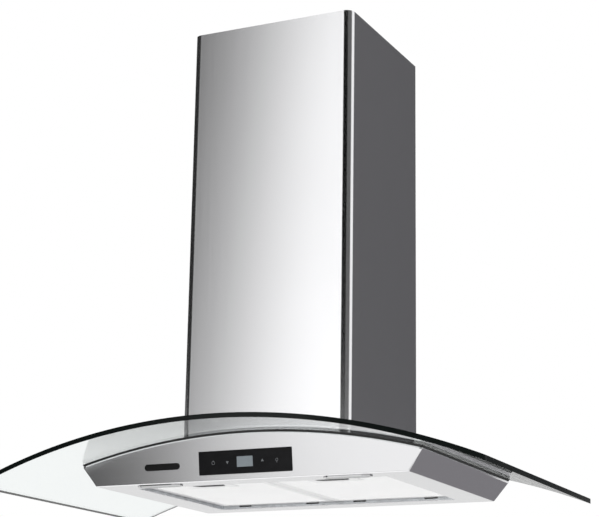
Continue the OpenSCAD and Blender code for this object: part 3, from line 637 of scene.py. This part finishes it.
class HOOD_OT_finishes(Operator):
    """Give every CAD node the finish of its material slot"""
    bl_idname = "hood.finishes"
    bl_label = "Finishes"

    def execute(self, context):
        for part in frame["record"]["subparts"]:
            node = frame["nodes"][part["node"]]
            node.data.materials.clear()
            core = part["node"].endswith("_core")
            node.data.materials.append(self.packing() if core else finish(part["material_slot"]))
        return {"FINISHED"}

    @staticmethod
    def packing():
        """The knitted aluminium between a filter's sheets, with painted shade: its colour runs only from 0.2 to
        0.62, darker in its depth, for the shade inside the filter.
        """
        if "packing" not in FINISHES:
            made = Finish("knitted_aluminium_painted_shade", Metallic=0.8)
            knots = made.cells(420)
            depth = made.noise(120, 3)
            # painted shade: the two noises spread the colour from 0.2 to 0.62, dark for the depth of the packing;
            # the knot pattern itself is the packing's real look
            made.set(Base_Color=made.mix(knots * 0.6 + depth * 0.4, (0.2, 0.2, 0.2), (0.62, 0.62, 0.62)),
                     Roughness=knots * 0.2 + 0.35)
            FINISHES["packing"] = made.bump(knots, 0.0006, 0.8).material
        return FINISHES["packing"]


class HOOD_OT_glass(Operator):
    """Model the curved glass: a slab spun to its arch, cut to its bowed outline, its rim painted near black as
    painted shade
    """
    bl_idname = "hood.glass"
    bl_label = "Glass canopy"

    def execute(self, context):
        sizes = context.scene.hood_sizes
        low, high = GLASS
        lower = sizes.arch_radius
        centre = GLASS_TOP - sizes.glass_thickness - lower
        past_edge, hole_corner, pad_border = 1.02, 12 * MM, 20 * MM
        side = 2 * math.asin(high.x * past_edge / lower)
        pane = slab("glass_pane", (-STRIP, low.y, centre + lower), (STRIP, high.y, GLASS_TOP))
        with editing(pane):
            pick(pane, "FACE", lambda middle, way: way.x > -FACING)
            bpy.ops.mesh.delete(type="FACE")
            bpy.ops.mesh.select_all(action="SELECT")
            bpy.ops.transform.translate(value=(STRIP, 0, 0))
            bpy.ops.transform.rotate(value=side / 2, orient_axis="Y", center_override=(0, 0, centre))
            bpy.ops.mesh.spin(steps=120, angle=-side, center=(0, 0, centre), axis=(0, 1, 0))
            bpy.ops.mesh.select_all(action="SELECT")
            bpy.ops.mesh.remove_doubles(threshold=WELD)
            bpy.ops.mesh.normals_make_consistent(inside=False)
        bow = sizes.glass_bow
        bow_radius = (high.x * high.x + bow * bow) / (2 * bow)
        cut(pane, self.outline(low, high, bow_radius), operation="INTERSECT")
        opening = reach("lower_pad")
        inner = reach("upper_pad", lambda p: abs(p.x) < opening[1].x - pad_border
                      and abs(p.y) < opening[1].y - pad_border)
        hole = rounded("glass_hole", (inner[0].x, inner[0].y, low.z), (inner[1].x, inner[1].y, high.z + 0.1),
                       UPRIGHT, hole_corner, 6)
        cut(pane, hole)
        bores = [add("cylinder", f"glass_bore_{i}", at=((a.x + b.x) / 2, (a.y + b.y) / 2, high.z),
                     vertices=32, radius=(b.x - a.x) / 2, depth=0.2)
                 for i, (a, b) in enumerate(solids_of("glass_bushes"))]
        cut(pane, join(*bores))
        soften(pane, 0.9 * MM, 3, 50)
        deliver(pane, "clear_glass", "hood", "glass_canopy")
        # the rim faces get a near-black, opaque finish: painted shade where clear glass would only look dark
        pane.data.materials.append(painted_dark_glass_edge("glass_rim_painted_shade", context.scene.hood_colours.glass_rim))
        rim_limit = 0.75
        for face in pane.data.polygons:
            across = Vector((face.center.x, 0, face.center.z - centre)).normalized()
            if abs(face.normal.dot(across)) < rim_limit:
                face.material_index = 1
        return {"FINISHED"}

    @staticmethod
    def outline(low, high, bow_radius):
        """The glass's outline as an upright block, its front bowed by a spin and its corners rounded."""
        reach_back = math.asin(high.x / bow_radius)
        start = low.y + bow_radius
        clear, corner = 50 * MM, 8 * MM
        tool = slab("glass_outline", (-STRIP, low.y, low.z - clear), (STRIP, low.y + STRIP, high.z + clear))
        with editing(tool):
            pick(tool, "VERT", lambda at, way: at.x > 0 or at.y > low.y + STRIP / 2)
            bpy.ops.mesh.delete(type="VERT")
            bpy.ops.mesh.select_all(action="SELECT")
            bpy.ops.transform.translate(value=(STRIP, 0, 0))
            bpy.ops.transform.rotate(value=-reach_back, orient_axis="Z", center_override=(0, start, 0))
            bpy.ops.mesh.spin(steps=48, angle=2 * reach_back, center=(0, start, 0), axis=(0, 0, 1))
            bpy.ops.mesh.select_all(action="SELECT")
            bpy.ops.mesh.remove_doubles(threshold=WELD)
            bpy.ops.mesh.extrude_region_move(TRANSFORM_OT_translate={"value": (0, 1, 0)})
            bpy.ops.transform.resize(value=(1, 0, 1), center_override=(0, high.y, 0))
            bpy.ops.mesh.select_all(action="SELECT")
            bpy.ops.mesh.normals_make_consistent(inside=False)
            pick(tool, "EDGE", lambda middle, way: abs(way.z) > SQUARE_ON
                 and abs(middle.x) > high.x - corner / 2)
            bpy.ops.mesh.bevel(offset=corner, segments=6, affect="EDGES")
        return tool


class HOOD_OT_chimney(Operator):
    """Model the four chimney covers: each front wraps three sides, each back panel closes it"""
    bl_idname = "hood.chimney"
    bl_label = "Chimney covers"

    def execute(self, context):
        sizes = context.scene.hood_sizes
        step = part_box("lower_chimney_front")[1].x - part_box("upper_chimney_front")[1].x
        lift = 0.5 * MM
        for level, radius in (("lower", sizes.cover_radius), ("upper", sizes.cover_radius - step)):
            front = self.wrap(level + "_cover_front", level + "_chimney_front", radius, sizes)
            back = merge(copy(frame["nodes"][level + "_chimney_rear"], level + "_cover_back"))
            if level == "lower":
                cut(front, arch_tool("arch_cut", sizes.arch_radius + sizes.glass_thickness + lift))
            soften(front, 0.3 * MM, 2, 40)
            soften(back, 0.3 * MM, 2, 40)
            body = body_of(level + "_chimney_front")
            deliver(front, "brushed_stainless", body, level + "_chimney_front")
            deliver(back, "brushed_stainless", body, level + "_chimney_rear")
        return {"FINISHED"}

    @staticmethod
    def wrap(name, node, radius, sizes):
        """A sheet folded round three sides and a flange each side of the back."""
        low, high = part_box(node)
        cover = rounded(name, low, high, UPRIGHT, radius, 20)
        inner = high.x - sizes.flange
        tap_radius = 1.6 * MM
        with editing(cover):
            pick(cover, "FACE", lambda middle, way: abs(way.z) > FACING)
            bpy.ops.mesh.delete(type="FACE")
            for x in (-inner, inner):
                pick(cover, "FACE", lambda middle, way: way.y > SQUARE_ON)
                bpy.ops.mesh.bisect(plane_co=(x, 0, 0), plane_no=(1, 0, 0))
            pick(cover, "FACE", lambda middle, way: way.y > SQUARE_ON and abs(middle.x) < inner)
            bpy.ops.mesh.delete(type="FACE")
        modify(cover, "SOLIDIFY", thickness=sizes.cover_sheet, offset=-1, use_even_offset=True)
        holes = [add("cylinder", f"screw_hole_{i}", at=((a + b) / 2), turn=(math.pi / 2, 0, 0),
                     vertices=24, radius=tap_radius, depth=12 * MM)
                 for i, (a, b) in enumerate(solids_of(node.replace("chimney_front", "cover_screws")))
                 if b.y > high.y - MM]
        return cut(cover, join(*holes))


def merge(piece):
    """Joins the loose triangles of a copied CAD mesh and clears its flat edges."""
    piece.hide_render = piece.hide_viewport = False
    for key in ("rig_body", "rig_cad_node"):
        if key in piece:
            del piece[key]
    piece.parent = None
    with editing(piece):
        bpy.ops.mesh.select_all(action="SELECT")
        bpy.ops.mesh.remove_doubles(threshold=WELD)
        bpy.ops.mesh.dissolve_limited(angle_limit=math.radians(0.5))
    return piece


BLOCK_HEIGHT = 120 * MM


def body_block(name, inset):
    """The body as a solid block with its leaning sides, carried up past the glass and inset all round."""
    low, high = SHELL_UNDER
    low, high = low + Vector((inset, inset, 0)), high - Vector((inset, inset, 0))
    grow_front, grow_rear = BLOCK_HEIGHT * FRONT_SLOPE, BLOCK_HEIGHT * REAR_SLOPE
    deep = high.y - low.y
    block = slab(name, low, (high.x, high.y, UNDER + BLOCK_HEIGHT))
    with editing(block):
        pick(block, "FACE", lambda middle, way: way.z > FACING)
        bpy.ops.transform.resize(value=((high.x + BLOCK_HEIGHT * SIDE_SLOPE) / high.x,
                                        (deep + grow_front + grow_rear) / deep, 1),
                                 center_override=(0, (low.y + high.y) / 2, 0))
        bpy.ops.transform.translate(value=(0, (grow_rear - grow_front) / 2, 0))
    return block


def past_body(point):
    """How far a point stands outside the body's right, left, front and rear faces."""
    low, high = SHELL_UNDER
    rise = point.z - UNDER
    side = high.x + rise * SIDE_SLOPE
    return (point.x - side, -side - point.x, low.y - rise * FRONT_SLOPE - point.y,
            point.y - high.y - rise * REAR_SLOPE)


class HOOD_OT_shell(Operator):
    """Model the body: folded steel with leaning sides, open for the filters, the lamps and the touch glass"""
    bl_idname = "hood.shell"
    bl_label = "Canopy body"

    def execute(self, context):
        sizes = context.scene.hood_sizes
        fold, corner, clear = 1.8 * MM, 1.5 * MM, 20 * MM
        shell = body_block("canopy_body", 0)
        with editing(shell):
            pick(shell, "FACE", lambda middle, way: way.z > FACING)
            bpy.ops.mesh.delete(type="FACE")
            pick(shell, "EDGE", lambda middle, way: middle.z < UNDER + BLOCK_HEIGHT - 1e-4)
            bpy.ops.mesh.bevel(offset=fold, segments=5, affect="EDGES")
        modify(shell, "SOLIDIFY", thickness=sizes.sheet, offset=-1, use_even_offset=True)
        window = reach("filter_surround")
        opening = slab("filter_opening", window[0] + Vector((sizes.sheet, sizes.sheet, -clear)),
                       window[1] - Vector((sizes.sheet, sizes.sheet, 0)))
        glass = reach("touch_glass", seen_from=FASCIA)
        play = Vector((0.5 * MM, 0.5 * MM, 5 * MM))
        panel = rounded("touch_opening", glass[0] - play, glass[1] + play, UPRIGHT, corner, 4)
        panel.data.transform(FASCIA)
        lamps = [self.lamp_opening(f"lamp_opening_{i}", *box) for i, box in enumerate(solids_of("lamp_bezels"))]
        cut(shell, opening, panel, *lamps)
        top = sizes.arch_radius - sizes.seal_gap
        cut(shell, arch_tool("body_top", top), operation="INTERSECT")
        self.fold_lip(shell, top, GLASS_TOP - sizes.glass_thickness - sizes.arch_radius, sizes.lip)
        soften(shell, 0.25 * MM, 2, 40)
        deliver(shell, "brushed_stainless", "hood", "canopy_shell", look=fold_grain("X"))
        seal = merge(copy(frame["nodes"]["glass_gasket"], "glass_seal"))
        cut(seal, body_block("seal_limit", sizes.sheet + 0.1 * MM), operation="INTERSECT")
        soften(seal, 0.5 * MM, 2, 40)
        deliver(seal, "rubber", "hood", "glass_gasket")
        return {"FINISHED"}

    @staticmethod
    def fold_lip(shell, top, centre, lip):
        """Chamfers the top edge all round, so that it catches the light under the seal."""
        on_top, outer = 0.06 * MM, 0.3 * MM
        with editing(shell):
            pick(shell, "VERT", lambda at, way: abs(math.hypot(at.x, at.z - centre) - top) < on_top
                 and max(past_body(at)) > -outer)
            bpy.ops.transform.translate(value=(0, 0, -lip))
            for side, slope, inward in ((0, SIDE_SLOPE, (-1, 0, 0)), (1, SIDE_SLOPE, (1, 0, 0)),
                                        (2, FRONT_SLOPE, (0, 1, 0)), (3, REAR_SLOPE, (0, -1, 0))):
                pick(shell, "VERT", lambda at, way: past_body(at)[side] > lip * slope / 2)
                bpy.ops.transform.translate(value=Vector(inward) * lip * slope)

    @staticmethod
    def lamp_opening(name, low, high):
        """An oblong hole that the lamp's rim covers."""
        inset, through = Vector((3 * MM, 3 * MM, 0)), Vector((0, 0, 10 * MM))
        return rounded(name, low + inset - through, high - inset, UPRIGHT, OBLONG, 12)


class HOOD_OT_touch_panel(Operator):
    """Model the touch glass, its display and marks, and the plain badge beside it"""
    bl_idname = "hood.touch_panel"
    bl_label = "Touch panel"

    def execute(self, context):
        low, high = reach("touch_glass", seen_from=FASCIA)
        glass = rounded("touch_pane", low, high, UPRIGHT, 1.2 * MM, 5)
        glass.data.transform(FASCIA)
        soften(glass, 0.35 * MM, 3, 40)
        deliver(glass, "black_glass", "hood", "touch_glass")

        shown = reach("display_module", seen_from=FASCIA)
        hidden, proud = 2.5 * MM, 0.03 * MM
        window = rounded("display_window", shown[0] + Vector((hidden, hidden, 0)),
                         (shown[1].x - hidden, shown[1].y - hidden, high.z + proud), UPRIGHT, 0.8 * MM, 4)
        window.data.transform(FASCIA)
        soften(window, 0.02 * MM, 1, 40)
        deliver(window, "display", "hood", "display_module")

        marks = self.marks((low.y + high.y) / 2, high.z)
        marks.data.transform(FASCIA)
        soften(marks, 0)
        deliver(marks, "display", "hood", look=moulded("printed_marks", (0.16, 0.17, 0.18), 0.4))

        low, high = reach("badge", seen_from=FASCIA)
        badge = rounded("plain_badge", low, high, UPRIGHT, OBLONG, 12)
        badge.data.transform(FASCIA)
        soften(badge, 0.45 * MM, 3, 40)
        deliver(badge, "badge_black", "hood", "badge")
        return {"FINISHED"}

    @staticmethod
    def marks(rise, face):
        """Four printed signs: a power ring, two arrow heads and a lamp."""
        depth = 0.04 * MM

        def ring(x, radius, width):
            made = add("cylinder", "mark_ring", at=(x, rise, face), vertices=32, radius=radius, depth=depth)
            with editing(made):
                pick(made, "FACE", lambda middle, way: abs(way.z) > FACING)
                bpy.ops.mesh.inset(thickness=width)
                bpy.ops.mesh.bridge_edge_loops()
            return made

        def bar(x, y, wide, tall):
            return slab("mark_bar", (x - wide / 2, rise + y - tall / 2, face - depth / 2),
                        (x + wide / 2, rise + y + tall / 2, face + depth / 2))

        def arrow(x, turn):
            return add("cylinder", "mark_arrow", at=(x, rise, face), turn=(0, 0, turn), vertices=3,
                       radius=3 * MM, depth=depth)

        outer, inner = 58 * MM, 32 * MM
        parts = [ring(-outer, 3 * MM, 0.6 * MM), bar(-outer, 2.6 * MM, 0.8 * MM, 3 * MM),
                 arrow(-inner, math.pi), arrow(inner, 0),
                 ring(outer, 2.4 * MM, 0.6 * MM), bar(outer, -3.8 * MM, 2.4 * MM, 0.7 * MM)]
        marks = join(*parts)
        marks.name = marks.data.name = "touch_marks"
        return marks


class HOOD_OT_lamps(Operator):
    """Model both lamps: a chrome rim with a rolled edge round a domed, frosted cover"""
    bl_idname = "hood.lamps"
    bl_label = "Lamps"

    def execute(self, context):
        for side, bezel, lens in zip(("left", "right"), solids_of("lamp_bezels"), solids_of("lamp_lenses")):
            low, high = bezel
            wall, floor, step = 3 * MM, 2 * MM, 1.5 * MM
            trim = rounded(side + "_lamp_trim", low, high, UPRIGHT, OBLONG, 16)
            with editing(trim):
                pick(trim, "FACE", lambda middle, way: way.z < -FACING)
                bpy.ops.mesh.inset(thickness=(lens[0].x - low.x))
                depth = high.z - low.z - floor
                bpy.ops.mesh.extrude_region_move(TRANSFORM_OT_translate={"value": (0, 0, depth)})
            collar = rounded("lamp_collar", low + Vector((wall, wall, step)),
                             high + Vector((-wall, -wall, MM)), UPRIGHT, OBLONG, 16)
            block = slab("lamp_block", low + Vector((-MM, -MM, step)), high + Vector((MM, MM, MM)))
            cut(trim, cut(block, collar))
            soften(trim, 0.55 * MM, 3, 40)
            deliver(trim, "chrome_trim", "hood", "lamp_bezels")
            cover = rounded(side + "_lamp_cover", *lens, UPRIGHT, OBLONG, 16)
            with editing(cover):
                pick(cover, "FACE", lambda middle, way: way.z < -FACING)
                bpy.ops.mesh.inset(thickness=2.5 * MM)
                bpy.ops.transform.translate(value=(0, 0, -0.4 * MM))
            soften(cover, 0.3 * MM, 3, 12)
            deliver(cover, "frosted", "hood", "lamp_lenses")
        return {"FINISHED"}


class HOOD_OT_filters(Operator):
    """Model both grease filters: mitred channel frames round two layers of expanded mesh"""
    bl_idname = "hood.filters"
    bl_label = "Grease filters"

    def execute(self, context):
        for side in ("left", "right"):
            body = "filter_" + side
            self.frame(side, body)
            self.mesh(side, body, context.scene.hood_sizes)
            cup = merge(copy(frame["nodes"][side + "_latch_cup"], side + "_pull_cup"))
            soften(cup, 0.4 * MM, 3, 40)
            deliver(cup, "dark_plastic", body, side + "_latch_cup")
            latch = merge(copy(frame["nodes"][side + "_latch"], side + "_pull"))
            soften(latch, 0.3 * MM, 3, 40)
            deliver(latch, "latch_steel", "latch_" + side, side + "_latch")
        return {"FINISHED"}

    @staticmethod
    def frame(side, body):
        """The channel frame with its pull plate and rear tabs; its corners are mitred."""
        node = side + "_filter_frame"
        piece = merge(copy(frame["nodes"][node], side + "_filter_channel"))
        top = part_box(node)[1].z
        low, high = reach(node, lambda p: p.z > top - ON_PLANE)
        saws = []
        kerf, outside, cut_length = 0.1 * MM, 3 * MM, 15.5 * MM
        for x, turn_x in ((low.x, 1), (high.x, -1)):
            for y, turn_y in ((low.y, 1), (high.y, -1)):
                saw = slab("mitre_saw", (-outside, -kerf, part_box(node)[0].z - MM), (cut_length, kerf, top + MM))
                saw.data.transform(Matrix.Translation((x, y, 0)) @ Matrix.Rotation(
                    math.atan2(turn_y, turn_x), 4, "Z"))
                saws.append(saw)
        cut(piece, join(*saws))
        soften(piece, 0.5 * MM, 3, 40)
        deliver(piece, "filter_aluminium", body, node)

    @staticmethod
    def mesh(side, body, sizes):
        """Two sheets of diamond mesh, cut away where the finger pull sits."""
        node = side + "_filter_mesh"
        low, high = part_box(node)
        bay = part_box(side + "_latch_cup")
        sheets = []
        middle, size = (low + high) / 2, high - low
        deep, squash, flatten = 0.8 * MM, 0.5, 0.7
        count = int((size.x + size.y * 2) / sizes.cell) + 2
        for level in (low.z + deep / 2, high.z - deep / 2):
            lattice = add("grid", "diamond_sheet", turn=(0, 0, math.pi / 4), x_subdivisions=count,
                          y_subdivisions=count, size=count * sizes.cell / math.sqrt(2))
            lattice.scale = (1, squash, 1)
            lattice.location = (middle.x, middle.y, level)
            bake_place(lattice)
            with editing(lattice):
                for at, way in ((low, (-1, 0, 0)), (low, (0, -1, 0)), (high, (1, 0, 0)), (high, (0, 1, 0))):
                    bpy.ops.mesh.select_all(action="SELECT")
                    bpy.ops.mesh.bisect(plane_co=at, plane_no=way, clear_outer=True)
                pick(lattice, "FACE", lambda middle, way: bay[0].x - 4 * MM < middle.x < bay[1].x + 4 * MM
                     and middle.y < bay[1].y + 2 * MM)
                bpy.ops.mesh.delete(type="FACE")
            modify(lattice, "WIREFRAME", thickness=sizes.strand, use_even_offset=False, use_boundary=True)
            with editing(lattice):
                bpy.ops.mesh.select_all(action="SELECT")
                bpy.ops.transform.resize(value=(1, 1, flatten), center_override=(0, 0, level))
            sheets.append(lattice)
        mesh = join(*sheets)
        mesh.name = mesh.data.name = side + "_diamond_mesh"
        deliver(mesh, "filter_aluminium", body, node)


class HOOD_OT_screws(Operator):
    """Model the covers' pan-head screws, each with a cross recess, one at each place"""
    bl_idname = "hood.screws"
    bl_label = "Cover screws"

    def execute(self, context):
        for node in ("lower_cover_screws", "upper_cover_screws"):
            made = []
            for i, (low, high) in enumerate(solids_of(node)):
                size = high - low
                middle = (low + high) / 2
                widths = sorted(size)
                axis = max(range(3), key=lambda k: abs(size[k] - widths[1]))
                way = Vector([math.copysign(1, middle[k]) if k == axis else 0 for k in range(3)])
                at = middle + way * size[axis] / 2
                turn = way.to_track_quat("Z", "Y").to_matrix().to_4x4()
                screw = self.screw(widths[1] / 2, size[axis])
                screw.data.transform(Matrix.Translation(at) @ turn @ Matrix.Rotation(0.5 * i, 4, "Z"))
                made.append(screw)
            group = join(*made)
            group.name = group.data.name = node.replace("cover_screws", "pan_head_screws")
            soften(group, 0)
            deliver(group, "zinc", body_of(node), node)
        return {"FINISHED"}

    @staticmethod
    def screw(radius, length):
        """A screw along +Z with the top of its head at the origin."""
        head = 0.45 * radius if length > radius * 1.5 else 0.4 * radius
        crown, shoulder, slot_half, slot_width = 0.7, 0.47, 0.5, 0.09
        screw = add("cylinder", "pan_head", at=(0, 0, -head / 2), vertices=32, radius=radius, depth=head)
        with editing(screw):
            pick(screw, "EDGE", lambda middle, way: middle.z > -WELD)
            bpy.ops.mesh.bevel(offset=head * crown, segments=4, affect="EDGES", clamp_overlap=True)
            pick(screw, "FACE", lambda middle, way: way.z < -FACING)
            bpy.ops.mesh.inset(thickness=radius * shoulder)
            bpy.ops.mesh.extrude_region_move(TRANSFORM_OT_translate={"value": (0, 0, head - length)})
        cross = [slab("recess", (-radius * a, -radius * b, -head * 0.6), (radius * a, radius * b, head))
                 for a, b in ((slot_half, slot_width), (slot_width, slot_half))]
        return cut(screw, *cross)


FOLDED = {
    "ceiling_plate": 0.4, "upper_uprights": 0.4, "frame_straps": 0.4, "lower_uprights": 0.4,
    "support_ring": 0.4, "blower_box": 0.25, "filter_surround": 0.3, "top_skin": 0.25,
    "power_box": 0.8, "power_box_lid": 0.6, "touch_holder": 0.4,
    "motor_can": 0.8, "motor_end_cap": 0.8, "outlet_collar": 0.5, "cord_gland": 0.5,
    "terminal_block": 0.5, "motor_bushes": 0.8, "upright_bolts": 0.3, "glass_clamp_bolts": 0.3,
}


class HOOD_OT_soft_edges(Operator):
    """Round the edges of the folded, pressed and moulded pieces inside"""
    bl_idname = "hood.soft_edges"
    bl_label = "Frame and blower edges"

    def execute(self, context):
        slots = {part["node"]: part["material_slot"] for part in frame["record"]["subparts"]}
        for node, width in FOLDED.items():
            piece = merge(copy(frame["nodes"][node], node + "_finished"))
            soften(piece, width * MM, 2, 35)
            deliver(piece, slots[node], body_of(node), node)
        return {"FINISHED"}


# ---------- the studio ----------

def glow(name, colour, tilt, *stops):
    """A light-giving surface for cards; its stops give places along X, in metres, and the strength there."""
    made = Finish(name, Base_Color=(0, 0, 0), Roughness=1.0, Specular_IOR_Level=0.0, Emission_Color=colour)
    if len(stops) == 1:
        return made.set(Emission_Strength=stops[0][1]).material
    start, end, brightest = stops[0][0], stops[-1][0], max(level for _, level in stops)
    across = made.node("ShaderNodeSeparateXYZ", {}, {0: made.place(turn=(0, tilt, 0))})
    along = made.node("ShaderNodeMapRange", {}, {0: across, 1: start, 2: end})
    level = made.ramp(along, *[((x - start) / (end - start), level / brightest) for x, level in stops])
    return made.set(Emission_Strength=brightest, Emission_Color=level).material


def card(name, points, *stops, colour=(1, 1, 1), tilt=0.0):
    """A four-cornered card that is seen only in polished and brushed surfaces."""
    deselect()
    bpy.ops.mesh.primitive_plane_add(size=2)
    piece = bpy.context.active_object
    piece.name = piece.data.name = name
    order = sorted(piece.data.vertices, key=lambda v: math.atan2(v.co.y, v.co.x))
    for vertex, point in zip(order, points):
        vertex.co = point
    piece.data.materials.append(glow(name + "_glow", colour, tilt, *stops))
    for ray in ("camera", "diffuse", "transmission", "volume_scatter", "shadow"):
        setattr(piece, "visible_" + ray, False)


class HOOD_OT_stage(Operator):
    """Set up the camera, a pale floor, white light all round and the cards that the steel mirrors"""
    bl_idname = "hood.stage"
    bl_label = "Studio"

    def execute(self, context):
        studio = context.scene.hood_studio
        self.camera(context, studio)
        self.room(context, studio)
        self.cards()
        return {"FINISHED"}

    @staticmethod
    def camera(context, studio):
        yaw, pitch = studio.yaw, studio.pitch
        ahead = Vector((-math.sin(yaw) * math.cos(pitch), math.cos(yaw) * math.cos(pitch), math.sin(pitch)))
        right = Vector((math.cos(yaw), math.sin(yaw), 0))
        turn = Matrix([right, right.cross(ahead), -ahead]).transposed().to_4x4()
        camera = bpy.data.objects.new("camera", bpy.data.cameras.new("camera"))
        camera.data.lens = studio.lens
        camera.data.sensor_width = 36
        camera.data.clip_end = 200
        camera.matrix_world = (Matrix.Translation(studio.camera_place) @ turn
                               @ Matrix.Rotation(studio.roll, 4, "Z"))
        context.scene.collection.objects.link(camera)
        context.scene.camera = camera

    @staticmethod
    def room(context, studio):
        world = bpy.data.worlds.new("white_room")
        world.use_nodes = True
        sky = world.node_tree.nodes["Background"]
        sky.inputs["Color"].default_value = (1, 1, 1, 1)
        sky.inputs["Strength"].default_value = studio.sky
        context.scene.world = world
        context.scene.view_settings.view_transform = "Standard"
        floor = add("circle", "floor", at=(0, 0, -studio.floor_drop), vertices=96, radius=80, fill_type="NGON")
        pale = Finish("pale_floor", Specular_IOR_Level=0.2)
        grain = pale.noise(1.5, 3)
        pale.set(Base_Color=pale.mix(grain, (0.84, 0.84, 0.84), (0.88, 0.88, 0.88)), Roughness=grain * 0.1 + 0.6)
        floor.data.materials.append(pale.material)

    @staticmethod
    def cards():
        """What the steel mirrors: its front a card from dark to bright, its corner a dark and a pale strip."""
        def upright(name, first, last, low, high, *stops, **settings):
            card(name, [(*first, low), (*last, low), (*last, high), (*first, high)], *stops, **settings)

        front, back, left, right, far = -2.4, 2.6, -4.0, 2.9, 3.3
        top, hem, seam, ground = 2.6, -0.45, -0.75, -3.2
        upright("front_gradient", (left, front), (-0.67, front), seam, top,
                (left, 0.02), (-1.8, 0.03), (-1.62, 0.12), (-1.42, 0.34), (-1.24, 0.8), (-1.05, 1.38),
                (-0.67, 1.8), tilt=-0.12)
        upright("fascia_gradient", (left, front), (0.2, front), -1.45, seam,
                (left, 0.02), (-1.8, 0.02), (-1.62, 0.1), (-1.42, 0.3), (-1.24, 0.72), (-0.9, 1.15), (0.2, 1.2))
        upright("low_gradient", (left, front), (0.2, front), -2.8, -1.46,
                (left, 0.02), (-1.65, 0.03), (-1.5, 0.12), (-1.38, 0.45), (-1.2, 0.6), (0.2, 0.6))
        upright("left_flag", (left, 2.2), (left, front), -0.15, top, (0, 0.03))
        upright("corner_flag", (-2.0, -6.0), (5.0, -6.0), 0.0, 4.0, (0, 0.0))
        upright("corner_grey_front", (2.0, front), (right, -1.6), hem, top, (0, 0.15))
        upright("corner_grey_side", (right, -1.6), (right, 0.0), hem, top, (0, 0.15))
        upright("corner_light", (right, 0.0), (right, far), hem, top, (0, 1.15))
        upright("side_flag", (right, far), (-0.1, far), hem, top, (0, 0.13), colour=(0.96, 0.95, 1))
        upright("panel_flag", (right, 0.6), (-0.1, back + 0.4), ground, -0.92, (0, 0.25), colour=(0.97, 0.94, 1))
        upright("back_grey", (-0.1, back), (-1.4, back), -0.85, 0.4, (0, 0.45))
        upright("under_light", (-0.12, back), (-3.2, back), -2.6, -0.9, (0, 0.84))
        card("floor_light", [(x, y, ground) for x, y in ((-2.5, -3.5), (2.5, -3.5), (2.5, 1.2), (-2.5, 1.2))],
             (0, 1.4))


OPERATORS = (HOOD_OT_finishes, HOOD_OT_glass, HOOD_OT_chimney, HOOD_OT_shell, HOOD_OT_touch_panel,
             HOOD_OT_lamps, HOOD_OT_filters, HOOD_OT_screws, HOOD_OT_soft_edges, HOOD_OT_stage)


class HOOD_PT_panel(Panel):
    """The hood's operators, in the order they are run"""
    bl_label = "Range Hood"
    bl_idname = "HOOD_PT_panel"
    bl_space_type = "VIEW_3D"
    bl_region_type = "UI"
    bl_category = "Range Hood"

    def draw(self, context):
        for group in (context.scene.hood_sizes, context.scene.hood_colours, context.scene.hood_studio):
            box = self.layout.box()
            for name in group.__annotations__:
                box.prop(group, name)
        for operator in OPERATORS:
            self.layout.operator(operator.bl_idname)


CLASSES = (HoodSizes, HoodColours, StudioSettings, *OPERATORS, HOOD_PT_panel)


def register():
    for item in CLASSES:
        bpy.utils.register_class(item)
    bpy.types.Scene.hood_sizes = PointerProperty(type=HoodSizes)
    bpy.types.Scene.hood_colours = PointerProperty(type=HoodColours)
    bpy.types.Scene.hood_studio = PointerProperty(type=StudioSettings)


def unregister():
    del bpy.types.Scene.hood_studio, bpy.types.Scene.hood_colours, bpy.types.Scene.hood_sizes
    for item in reversed(CLASSES):
        bpy.utils.unregister_class(item)


def main():
    register()
    for operator in OPERATORS:
        group, name = operator.bl_idname.split(".")
        getattr(getattr(bpy.ops, group), name)()
    deselect()


if __name__ == "__main__":
    main()
